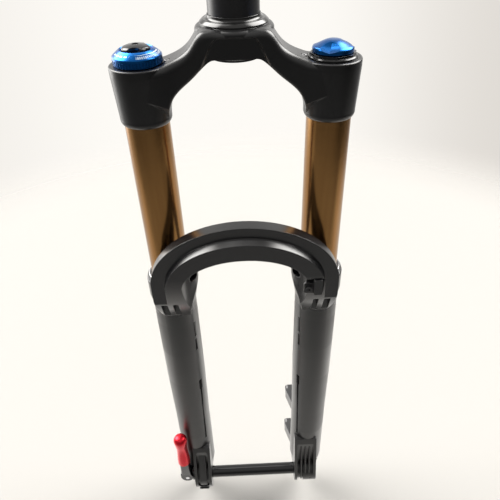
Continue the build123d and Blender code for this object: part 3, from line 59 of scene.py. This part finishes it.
class Wire:
    # one output of a node; arithmetic on it adds Math nodes
    def __init__(self, finish, socket):
        self.finish = finish
        self.socket = socket

    def math(self, operation, *values):
        numbered = {index: value for index, value in enumerate(values)}
        return self.finish.node("ShaderNodeMath", {"operation": operation}, numbered)

    def __add__(self, other):
        return self.math("ADD", self, other)

    def __radd__(self, other):
        return self.math("ADD", other, self)

    def __sub__(self, other):
        return self.math("SUBTRACT", self, other)

    def __rsub__(self, other):
        return self.math("SUBTRACT", other, self)

    def __mul__(self, other):
        return self.math("MULTIPLY", self, other)

    def __truediv__(self, other):
        return self.math("DIVIDE", self, other)

    def __abs__(self):
        return self.math("ABSOLUTE", self)

    def power(self, other):
        return self.math("POWER", self, other)

    def fraction(self):
        return self.math("FRACT", self)

    def between(self, low, high, soft):
        # 1 from low to high, easing out over soft on both sides
        return self.smooth(low - soft, low + soft) * (1 - self.smooth(high - soft, high + soft))

    def smooth(self, low, high):
        # 0 below low, 1 above high, eased between
        values = {"Value": self, "From Min": low, "From Max": high}
        return self.finish.node("ShaderNodeMapRange", {"interpolation_type": "SMOOTHSTEP"}, values)


class Finish:
    # a node material, or the world, built up from wires
    def __init__(self, name, owner=None):
        self.owner = owner or bpy.data.materials.new(name)
        self.owner.use_nodes = True
        self.tree = self.owner.node_tree
        self.tree.nodes.clear()

    def node(self, kind, settings=None, values=None, output=0):
        made = self.tree.nodes.new(kind)
        for key, setting in (settings or {}).items():
            setattr(made, key, setting)
        for key, value in (values or {}).items():
            if isinstance(value, Wire):
                self.tree.links.new(value.socket, made.inputs[key])
            elif hasattr(value, "__len__") and len(value) == 3 and made.inputs[key].type == "RGBA":
                made.inputs[key].default_value = (*value, 1)
            else:
                made.inputs[key].default_value = value
        return Wire(self, made.outputs[output]) if len(made.outputs) else None

    def dot(self, first, second):
        return self.node("ShaderNodeVectorMath", {"operation": "DOT_PRODUCT"}, {0: first, 1: second}, "Value")

    def place(self):
        return self.node("ShaderNodeTexCoord", output="Object")

    def axis(self, letter):
        return self.node("ShaderNodeSeparateXYZ", values={"Vector": self.place()}, output=letter)

    def stretched(self, scale):
        # object coordinates, in metres, multiplied by a scale for each axis
        values = {"Vector": self.place(), "Scale": scale}
        return self.node("ShaderNodeMapping", {"vector_type": "POINT"}, values)

    def around(self, x, y):
        # part of a full turn about the upright line through x, y; 0 faces the front
        across = self.axis("X") - x
        along = y - self.axis("Y")
        return across.math("ARCTAN2", across, along) / (2 * math.pi)

    def reach(self, x, y):
        across = self.axis("X") - x
        along = self.axis("Y") - y
        return (across * across + along * along).power(0.5)

    def noise(self, scale, detail=3, roughness=0.55, vector=None):
        values = {"Vector": vector or self.place(), "Scale": scale, "Detail": detail, "Roughness": roughness}
        return self.node("ShaderNodeTexNoise", values=values)

    def blend(self, factor, first, second):
        # colours first to second by factor
        settings = {"data_type": "RGBA", "clamp_factor": True}
        return self.node("ShaderNodeMix", settings, {0: factor, 6: first, 7: second}, output=2)

    def mixed(self, factor, first, second):
        # numbers first to second by factor
        return self.node("ShaderNodeMix", {"data_type": "FLOAT"}, {0: factor, 2: first, 3: second}, output=0)

    def bump(self, height, distance, strength=1.0, normal=None):
        values = {"Height": height, "Distance": distance, "Strength": strength}
        if normal is not None:
            values["Normal"] = normal
        return self.node("ShaderNodeBump", values=values)

    def rounded(self, radius, samples=6):
        # normal that reads as an edge of this radius
        return self.node("ShaderNodeBevel", {"samples": samples}, {"Radius": radius})

    def edge(self, radius, gain=3.0):
        # 0 on flat places, rising towards 1 at edges narrower than the radius
        bent = self.rounded(radius)
        flat = self.node("ShaderNodeNewGeometry", output="Normal")
        return (1 - self.dot(bent, flat)) * gain

    def rub(self, radius, patches, limits, least=0.4):
        # 1 where edges narrower than the radius have rubbed through, in patches
        return (self.edge(radius) * (least + self.noise(patches, 3))).smooth(*limits)

    def wander(self, look, cloud):
        # roughness that follows the cloud, by up to the spread either way
        return look["roughness"] + (cloud - 0.5) * look["spread"] * 2

    def principled(self, values):
        named = {
            "color": "Base Color",
            "metal": "Metallic",
            "roughness": "Roughness",
            "normal": "Normal",
            "coat": "Coat Weight",
            "coatRoughness": "Coat Roughness",
            "specular": "Specular IOR Level",
            "alpha": "Alpha",
            "emission": "Emission Color",
            "emissionStrength": "Emission Strength",
        }
        sockets = {named[key]: value for key, value in values.items()}
        return self.node("ShaderNodeBsdfPrincipled", values=sockets)

    def shade(self, recessShade=None, **values):
        # the optional layer is where it lies and its own values, laid over the surface; castPaint lays
        # painted shade in recess lines with it
        surface = self.principled(values)
        if recessShade is not None:
            cover, shadeLayer = recessShade
            layers = {0: cover, 1: surface, 2: self.principled(shadeLayer)}
            surface = self.node("ShaderNodeMixShader", values=layers)
        self.node("ShaderNodeOutputMaterial", values={"Surface": surface})
        return self.owner


# places that several pieces share, from the frame
def boxOf(node):
    low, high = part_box(node)
    return Vector(low), Vector(high)


tubeLow, tubeHigh = boxOf("damper_upper_tube")
legX = abs((tubeLow.x + tubeHigh.x) / 2)
legY = (tubeLow.y + tubeHigh.y) / 2
dialFoot = boxOf("compression_dial")[0].z


def dress(node, material):
    part = frame["nodes"][node]
    part.data.materials.clear()
    part.data.materials.append(material)


# in every finish a noise is its scale and detail, and a bump its depth in metres and strength
def satinBlack():
    look = {
        "color": (0.005, 0.005, 0.0056),
        "worn": (0.02, 0.019, 0.019),
        "wear": 0.5,
        "wornGloss": 0.08,
        "rub": {"radius": 0.0012, "patches": 160, "limits": (0.25, 0.9)},
        "roughness": 0.3,
        "spread": 0.05,
        "cloud": (38, 4),
        "beads": (1900, 2),
        "bump": (0.00002, 0.35),
        "corner": 0.0008,
    }
    paint = Finish("satinBlackCrown")
    cloud = paint.noise(*look["cloud"])
    beads = paint.noise(*look["beads"])
    rub = paint.rub(**look["rub"])
    color = paint.blend(rub * look["wear"], look["color"], look["worn"])
    roughness = paint.wander(look, cloud) - rub * look["wornGloss"]
    normal = paint.bump(beads, *look["bump"], paint.rounded(look["corner"]))
    return paint.shade(color=color, roughness=roughness, normal=normal)


# the heights and distances of the lines and panels are places in the frame, in metres
def castPaint():
    look = {
        "color": (0.0055, 0.0055, 0.006),
        "worn": (0.03, 0.029, 0.028),
        "wear": 0.5,
        "rub": {"radius": 0.001, "patches": 150, "limits": (0.3, 0.95)},
        "roughness": 0.34,
        "spread": 0.05,
        "specular": 0.7,
        "cloud": (30, 4),
        "grain": (1300, 3),
        "bump": (0.00003, 0.4),
        "corner": 0.0009,
        "sleek": 0.1,  # how much smoother the arch is than the legs
        "sleekFrom": (-0.268, -0.262),
        "frontDepth": 0.004,
        "lineX": 0.0547,
        "lineXHeight": -0.3,
        "lean": 0.019,  # how far the lines lean outwards on the way down
        "lines": ((-0.302, -0.2815), (-0.3225, -0.306), (-0.486, -0.3725)),
        "lineHalf": (0.0007, 0.001),
        "wideLine": (-0.388, -0.3725),
        "widening": 0.0006,
        "panels": ((-0.324, -0.2795), (-0.48, -0.3725)),
        "panelFrom": (0.001, 0.0016),
        "panelDull": 0.07,
        "crisp": 0.0003,
        "vague": 0.0008,
        # the dark layer of painted shade laid in the recess lines
        "recessShade": {"color": (0.002, 0.002, 0.002), "roughness": 0.12, "specular": 0.12},
        "recessShadeSpread": 0.06,
    }
    paint = Finish("satinBlackLowers")
    cloud = paint.noise(*look["cloud"])
    grain = paint.noise(*look["grain"])
    rub = paint.rub(**look["rub"])
    color = paint.blend(rub * look["wear"], look["color"], look["worn"])
    # glossy dark lines down the inner front of each leg, painted shade standing in for narrow recesses, and
    # two duller panels of print beside them
    aside = abs(paint.axis("X"))
    height = paint.axis("Z")
    front = 1 - paint.axis("Y").smooth(legY - look["frontDepth"], legY)
    outwards = aside - look["lineX"] + (height - look["lineXHeight"]) * look["lean"]
    stretches = [height.between(*ends, look["crisp"]) for ends in look["lines"]]
    widening = height.between(*look["wideLine"], look["crisp"]) * look["widening"]
    narrow = 1 - (abs(outwards) - widening).smooth(*look["lineHalf"])
    line = narrow * (stretches[0] + stretches[1] + stretches[2]) * front
    recessShade = dict(look["recessShade"], roughness=look["recessShade"]["roughness"] + cloud * look["recessShadeSpread"])
    blocks = [height.between(*ends, look["vague"]) for ends in look["panels"]]
    panel = (blocks[0] + blocks[1]) * outwards.smooth(*look["panelFrom"]) * front
    sleek = height.smooth(*look["sleekFrom"]) * look["sleek"]
    roughness = paint.wander(look, cloud) + panel * look["panelDull"] - sleek
    normal = paint.bump(grain, *look["bump"], paint.rounded(look["corner"]))
    surface = {"color": color, "roughness": roughness, "normal": normal, "specular": look["specular"]}
    return paint.shade((line, recessShade), **surface)


def goldTube():
    look = {
        "color": (0.38, 0.208, 0.076),
        "deep": (0.25, 0.12, 0.038),
        "roughness": 0.22,
        "spread": 0.04,
        "drawn": (60, 4),
        "drawnAlong": (6, 6, 0.25),
        "polish": (700, 2),
        "polishAlong": (1, 1, 5),
        "bump": (0.000004, 0.3),
    }
    metal = Finish("goldAnodised")
    drawn = metal.noise(*look["drawn"], vector=metal.stretched(look["drawnAlong"]))
    polish = metal.noise(*look["polish"], vector=metal.stretched(look["polishAlong"]))
    color = metal.blend(drawn, look["color"], look["deep"])
    normal = metal.bump(polish, *look["bump"])
    return metal.shade(color=color, roughness=metal.wander(look, drawn), normal=normal, metal=1.0)


def glossBlack(name="glossBlackAnodised", color=(0.005, 0.005, 0.0055), roughness=0.17):
    look = {
        "roughness": roughness,
        "spread": 0.05,
        "turned": (240, 3),
        "fine": (2200, 2),
        "bump": (0.000008, 0.3),
        "corner": 0.0003,
    }
    metal = Finish(name)
    turned = metal.noise(*look["turned"])
    fine = metal.noise(*look["fine"])
    normal = metal.bump(fine, *look["bump"], metal.rounded(look["corner"]))
    return metal.shade(color=color, roughness=metal.wander(look, turned), normal=normal)


def blueAnodised(name="blueAnodised", marked=False):
    look = {
        "color": (0.001, 0.1, 0.34),
        "deep": (0.001, 0.065, 0.25),
        "metal": 0.93,
        "coat": 0.12,
        "coatRoughness": 0.18,
        "roughness": 0.24,
        "spread": 0.05,
        "cloud": (120, 3),
        "fine": (1500, 2),
        "bump": (0.00001, 0.3),
        "corner": 0.0002,
    }
    layer = {key: look[key] for key in ("metal", "coat", "coatRoughness")}
    metal = Finish(name)
    cloud = metal.noise(*look["cloud"])
    fine = metal.noise(*look["fine"])
    color = metal.blend(cloud, look["color"], look["deep"])
    roughness = metal.wander(look, cloud)
    normal = metal.bump(fine, *look["bump"], metal.rounded(look["corner"]))
    if not marked:
        return metal.shade(color=color, roughness=roughness, normal=normal, **layer)
    # laser marks on the shoulder of the dial: fine ticks, a ramp that widens, and a few longer dashes
    # rings are radii, turns are parts of a full turn, and a share is the marked part of each repeat
    marks = {
        "white": (0.75, 0.8, 0.82),
        "ticks": {"count": 72, "share": (0.25, 0.62, 0.06), "ring": (0.0158, 0.0174), "turn": (0.02, 0.29)},
        "dashes": {"count": 26, "share": (0.2, 0.75, 0.05), "ring": (0.0154, 0.0162), "turn": (-0.2, -0.03)},
        "ringSoft": 0.0001,
        "turnSoft": 0.001,
        "ramp": {"slope": 0.0016, "ring": 0.0149, "turn": (0.01, 0.25, 0.002)},
        "rimHeight": 0.0056,
        "shoulder": (-0.0003, 0.0001),
        "metalLoss": 0.85,
        "roughnessGain": 0.25,
    }
    turn = metal.around(-legX, legY)
    out = metal.reach(-legX, legY)
    rows = []
    for row in (marks["ticks"], marks["dashes"]):
        beat = (turn * row["count"]).fraction().between(*row["share"])
        ring = out.between(*row["ring"], marks["ringSoft"])
        rows.append(beat * ring * turn.between(*row["turn"], marks["turnSoft"]))
    ramp = marks["ramp"]
    wedge = out.math("LESS_THAN", abs(out - ramp["ring"]), turn * ramp["slope"])
    wedge = wedge * turn.between(*ramp["turn"])
    dialRim = dialFoot + marks["rimHeight"]
    shoulder = metal.axis("Z").smooth(*(dialRim + offset for offset in marks["shoulder"]))
    mark = (rows[0] + wedge + rows[1]) * shoulder
    color = metal.blend(mark, color, marks["white"])
    layer["metal"] = layer["metal"] - mark * marks["metalLoss"]
    roughness = roughness + mark * marks["roughnessGain"]
    return metal.shade(color=color, roughness=roughness, normal=normal, **layer)


def redGloss():
    look = {
        "color": (0.62, 0.012, 0.026),
        "deep": (0.5, 0.008, 0.018),
        "metal": 0.7,
        "roughness": 0.22,
        "spread": 0.04,
        "cloud": (130, 3),
        "dimples": (420, 2),
        "bump": (0.00002, 0.25),
    }
    paint = Finish("redSleeve")
    cloud = paint.noise(*look["cloud"])
    dimples = paint.noise(*look["dimples"])
    color = paint.blend(cloud, look["color"], look["deep"])
    normal = paint.bump(dimples, *look["bump"])
    return paint.shade(color=color, roughness=paint.wander(look, cloud), normal=normal, metal=look["metal"])


def bareMetal(name, color, roughness, spread=0.06):
    look = {
        "roughness": roughness,
        "spread": spread,
        "cloud": (180, 3),
        "lines": (900, 2),
        "linesAlong": (1, 1, 8),
        "bump": (0.000006, 0.35),
        "corner": 0.0002,
    }
    metal = Finish(name)
    cloud = metal.noise(*look["cloud"])
    lines = metal.noise(*look["lines"], vector=metal.stretched(look["linesAlong"]))
    normal = metal.bump(lines, *look["bump"], metal.rounded(look["corner"]))
    return metal.shade(color=color, roughness=metal.wander(look, cloud), normal=normal, metal=1.0)


def softBlack(name, color, roughness, grainScale, spread=0.06):
    look = {
        "roughness": roughness,
        "spread": spread,
        "paler": 1.5,
        "cloud": (90, 3),
        "grain": (grainScale, 3),
        "bump": (0.00002, 0.4),
        "corner": 0.0003,
    }
    stuff = Finish(name)
    cloud = stuff.noise(*look["cloud"])
    grain = stuff.noise(*look["grain"])
    tone = stuff.blend(cloud, color, tuple(channel * look["paler"] for channel in color))
    normal = stuff.bump(grain, *look["bump"], stuff.rounded(look["corner"]))
    return stuff.shade(color=tone, roughness=stuff.wander(look, cloud), normal=normal)


finishes = {
    "satin_black_crown": satinBlack(),
    "satin_black_lowers": castPaint(),
    "gold_tube": goldTube(),
    "black_anodised": glossBlack(),
    "black_steerer": softBlack("blackSteerer", (0.008, 0.008, 0.009), 0.34, 1500),
    "blue_anodised": blueAnodised(),
    "bare_aluminium": bareMetal("bareAluminium", (0.62, 0.62, 0.63), 0.28),
    "steel": bareMetal("steel", (0.5, 0.5, 0.51), 0.24),
    "red_sleeve": redGloss(),
    "black_rubber": softBlack("blackRubber", (0.012, 0.012, 0.012), 0.55, 1400),
    "black_plastic": softBlack("blackPlastic", (0.014, 0.014, 0.015), 0.4, 1000),
    "brass": bareMetal("brass", (0.7, 0.48, 0.2), 0.25),
    "foam": softBlack("foam", (0.12, 0.12, 0.12), 0.9, 600),
}
for entry in frame["record"]["subparts"]:
    dress(entry["node"], finishes[entry["material_slot"]])
dress("compression_dial", blueAnodised("blueDial", marked=True))
for node in ("hose_guide_screw", "axle_nut_screw"):
    dress(node, finishes["black_plastic"])
print("finishes:", len(finishes))


def turnedPiece(name, profile, steps=128, sharpFrom=35):
    # mesh turned about the steerer axis from its (radius, height) outline in millimetres
    build = bmesh.new()
    rings = []
    for step in range(steps):
        angle = 2 * math.pi * step / steps
        cosine, sine = math.cos(angle), math.sin(angle)
        rings.append([build.verts.new((r * cosine / 1000, r * sine / 1000, z / 1000)) for r, z in profile])
    count = len(profile)
    for first, second in zip(rings, rings[1:] + rings[:1]):
        for low in range(count):
            high = (low + 1) % count
            build.faces.new((first[low], second[low], second[high], first[high]))
    bmesh.ops.recalc_face_normals(build, faces=build.faces[:])
    mesh = bpy.data.meshes.new(name)
    build.to_mesh(mesh)
    build.free()
    mesh.polygons.foreach_set("use_smooth", [True] * len(mesh.polygons))
    mesh.set_sharp_from_angle(angle=math.radians(sharpFrom))
    piece = bpy.data.objects.new(name, mesh)
    bpy.context.scene.collection.objects.link(piece)
    return piece


# radii and heights above the crown race seat, in millimetres
raceLook = {
    "bore": 19.95,
    "rim": 26.5,
    "shoulder": 23.8,
    "neck": 20.5,
    "foot": 0.05,
    "top": 6.2,
    "rimEdge": ((0.2, 0.05), (0.0, 0.25), (0.0, 0.9), (0.3, 1.3)),  # in from the rim, and height
    "shoulderEdge": ((0.5, 2.9), (0.0, 3.2), (-0.5, 3.2)),  # out from the shoulder, and height
    "flare": {"inset": 0.9, "foot": 3.2, "drop": 0.4, "steps": 6},
    "neckBevel": 0.25,
    "color": (0.006, 0.006, 0.006),
    "roughness": 0.15,
}


def makeRace():
    bore, shoulder, neck, top = (raceLook[key] for key in ("bore", "shoulder", "neck", "top"))
    profile = [(bore, raceLook["foot"])]
    profile += [(raceLook["rim"] - inset, height) for inset, height in raceLook["rimEdge"]]
    profile += [(shoulder + outset, height) for outset, height in raceLook["shoulderEdge"]]
    # hollow flare from the shoulder up to the neck
    flare = raceLook["flare"]
    widest = shoulder - flare["inset"]
    crest = top - flare["drop"]
    for step in range(flare["steps"] + 1):
        turn = math.radians(90 * step / flare["steps"])
        radius = widest - (widest - neck) * math.sin(turn)
        profile.append((radius, crest - (crest - flare["foot"]) * math.cos(turn)))
    profile += [(neck - raceLook["neckBevel"], top), (bore, top)]
    race = turnedPiece("crownRace", profile)
    race.data.materials.append(glossBlack("raceBlack", raceLook["color"], raceLook["roughness"]))
    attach(race, "uppers")


makeRace()
print("race made")


floorLook = {
    "color": (0.29, 0.2845, 0.2735),
    "cloud": (0.8, 2),
    "clouded": 0.985,
    "roughness": 0.9,
    "specular": 0.1,
    "front": (0.12, 0.12, 0.118),  # painted shade: the dark colour that reflections see on the paper ahead of the fork
    "ahead": (-0.42, -0.12),
    "gap": 0.006,
    "near": 0.45,
    "far": 1.4,
    "under": (-0.1, 0.2, 0.03),
    "aside": (0.34, 0.44),
    "glow": (1.0, 0.98, 0.95),
    "glare": 0.7,
}
floorZ = cadLow[2] - floorLook["gap"]


def makeStage():
    # a sheet of paper that fades into the backdrop away from the fork; ahead of it, reflections see it dark
    half = floorLook["far"]
    mesh = bpy.data.meshes.new("studioFloor")
    corners = [(-half, -half, floorZ), (half, -half, floorZ), (half, half, floorZ), (-half, half, floorZ)]
    mesh.from_pydata(corners, [], [(0, 1, 2, 3)])
    floor = bpy.data.objects.new("studioFloor", mesh)
    bpy.context.scene.collection.objects.link(floor)
    paper = Finish("studioPaper")
    cloud = paper.noise(*floorLook["cloud"])
    clouded = tuple(channel * floorLook["clouded"] for channel in floorLook["color"])
    pale = paper.blend(cloud, floorLook["color"], clouded)
    along = paper.axis("Y")
    ahead = 1 - along.smooth(*floorLook["ahead"])
    seen = paper.node("ShaderNodeLightPath", output="Is Camera Ray")
    color = paper.blend(ahead * (1 - seen), pale, floorLook["front"])
    # painted light: glossy surfaces see the paper below the fork brighter than it is
    mirrored = paper.node("ShaderNodeLightPath", output="Is Glossy Ray")
    middle = 1 - abs(paper.axis("X")).smooth(*floorLook["aside"])
    under = along.between(*floorLook["under"]) * middle * mirrored
    glow = paper.blend(under, (0.0, 0.0, 0.0), floorLook["glow"])
    reach = paper.node("ShaderNodeVectorMath", {"operation": "LENGTH"}, {0: paper.place()}, output="Value")
    alpha = 1 - reach.smooth(floorLook["near"] + abs(floorZ), floorLook["far"])
    surface = {"color": color, "roughness": floorLook["roughness"], "specular": floorLook["specular"]}
    light = {"emission": glow, "emissionStrength": floorLook["glare"]}
    mesh.materials.append(paper.shade(alpha=alpha, **surface, **light))


worldLook = {
    "glow": (1.0, 0.98, 0.95),
    "front": 0.18,
    "back": 1.1,
    "frontToBack": (-0.4, 0.5),
    "top": 0.7,
    "topFrom": (0.3, 0.9),
    "right": 0.75,  # how much dimmer the room is on the right
    "rightFrom": (0.35, 0.85),
    "rightBelow": (0.2, 0.5),
    "box": 14.0,
    "boxAt": (0.66, 0.34, 0.67),
    "boxEdge": (0.88, 0.97),
    "panel": 4.0,
    "panelAt": (-0.84, 0.54, 0.0),
    "panelEdge": (0.9, 0.97),
}
# the backdrop the camera sees, with painted shade darker towards the right and the left
backdropLook = {
    "color": (0.99, 0.965, 0.92),
    "dim": (0.74, 0.705, 0.66),
    "rightDim": (0.12, 0.5),
    "leftDim": (0.2, 0.55),
    "leftShare": 0.45,
}


def makeWorld():
    world = bpy.data.worlds.new("studio")
    bpy.context.scene.world = world
    sky = Finish("studio", world)
    toward = sky.node("ShaderNodeTexCoord", output="Generated")
    values = {"Vector": toward}
    across, along, upward = (sky.node("ShaderNodeSeparateXYZ", values=values, output=axis) for axis in "XYZ")
    level = sky.mixed(along.smooth(*worldLook["frontToBack"]), worldLook["front"], worldLook["back"])
    level = sky.mixed(upward.smooth(*worldLook["topFrom"]), level, worldLook["top"])
    right = across.smooth(*worldLook["rightFrom"]) * (1 - upward.smooth(*worldLook["rightBelow"]))
    level = level * (1 - right * worldLook["right"])
    # two soft boxes overhead, one on each side
    for side in (-1, 1):
        aim = (side * worldLook["boxAt"][0], *worldLook["boxAt"][1:])
        level = level + sky.dot(toward, aim).smooth(*worldLook["boxEdge"]) * worldLook["box"]
    # a weaker panel low on the left
    level = level + sky.dot(toward, worldLook["panelAt"]).smooth(*worldLook["panelEdge"]) * worldLook["panel"]
    glow = sky.node("ShaderNodeBackground", values={"Color": worldLook["glow"], "Strength": level})
    # painted shade: the backdrop seen straight on darkens towards both sides
    left = (0 - across).smooth(*backdropLook["leftDim"]) * backdropLook["leftShare"]
    aside = across.smooth(*backdropLook["rightDim"]) + left
    shadedBackdrop = sky.blend(aside, backdropLook["color"], backdropLook["dim"])
    backdrop = sky.node("ShaderNodeBackground", values={"Color": shadedBackdrop, "Strength": 1.0})
    camera = sky.node("ShaderNodeLightPath", output="Is Camera Ray")
    both = sky.node("ShaderNodeMixShader", values={0: camera, 1: glow, 2: backdrop})
    sky.node("ShaderNodeOutputWorld", values={"Surface": both})


lamps = {
    "overhead": {
        "at": (-0.3, 0.7, 2.2),
        "aim": (0.0, 0.0, -0.5),
        "size": (1.6, 1.2),
        "power": 10,
        "color": (1.0, 0.985, 0.96),
    },
}


def makeLamps():
    for name, look in lamps.items():
        data = bpy.data.lights.new(name, "AREA")
        data.shape = "RECTANGLE"
        data.size, data.size_y = look["size"]
        data.energy = look["power"]
        data.color = look["color"]
        lamp = bpy.data.objects.new(name, data)
        lamp.location = look["at"]
        lamp.rotation_mode = "QUATERNION"
        lamp.rotation_quaternion = (Vector(look["aim"]) - Vector(look["at"])).to_track_quat("-Z", "Y")
        bpy.context.scene.collection.objects.link(lamp)


cameraLook = {
    "focal": 35.89,
    "sensor": 36.0,
    "clip": (0.01, 100.0),
    "at": (0.0, -0.4043, 0.0887),
    "pitch": -37.1,
    "yaw": -0.9,
    "roll": -1.9,
}


def makeCamera():
    data = bpy.data.cameras.new("studioCamera")
    data.sensor_width = cameraLook["sensor"]
    data.lens = cameraLook["focal"]
    data.clip_start, data.clip_end = cameraLook["clip"]
    camera = bpy.data.objects.new("studioCamera", data)
    turn = Matrix.Rotation(math.radians(cameraLook["yaw"]), 4, "Z")
    tip = Matrix.Rotation(math.radians(90 + cameraLook["pitch"]), 4, "X")
    roll = Matrix.Rotation(math.radians(cameraLook["roll"]), 4, "Z")
    camera.matrix_world = Matrix.Translation(cameraLook["at"]) @ turn @ tip @ roll
    bpy.context.scene.collection.objects.link(camera)
    bpy.context.scene.camera = camera


makeStage()
makeWorld()
makeLamps()
makeCamera()
bpy.context.scene.view_settings.view_transform = "Standard"
print("stage, lamps and camera made")
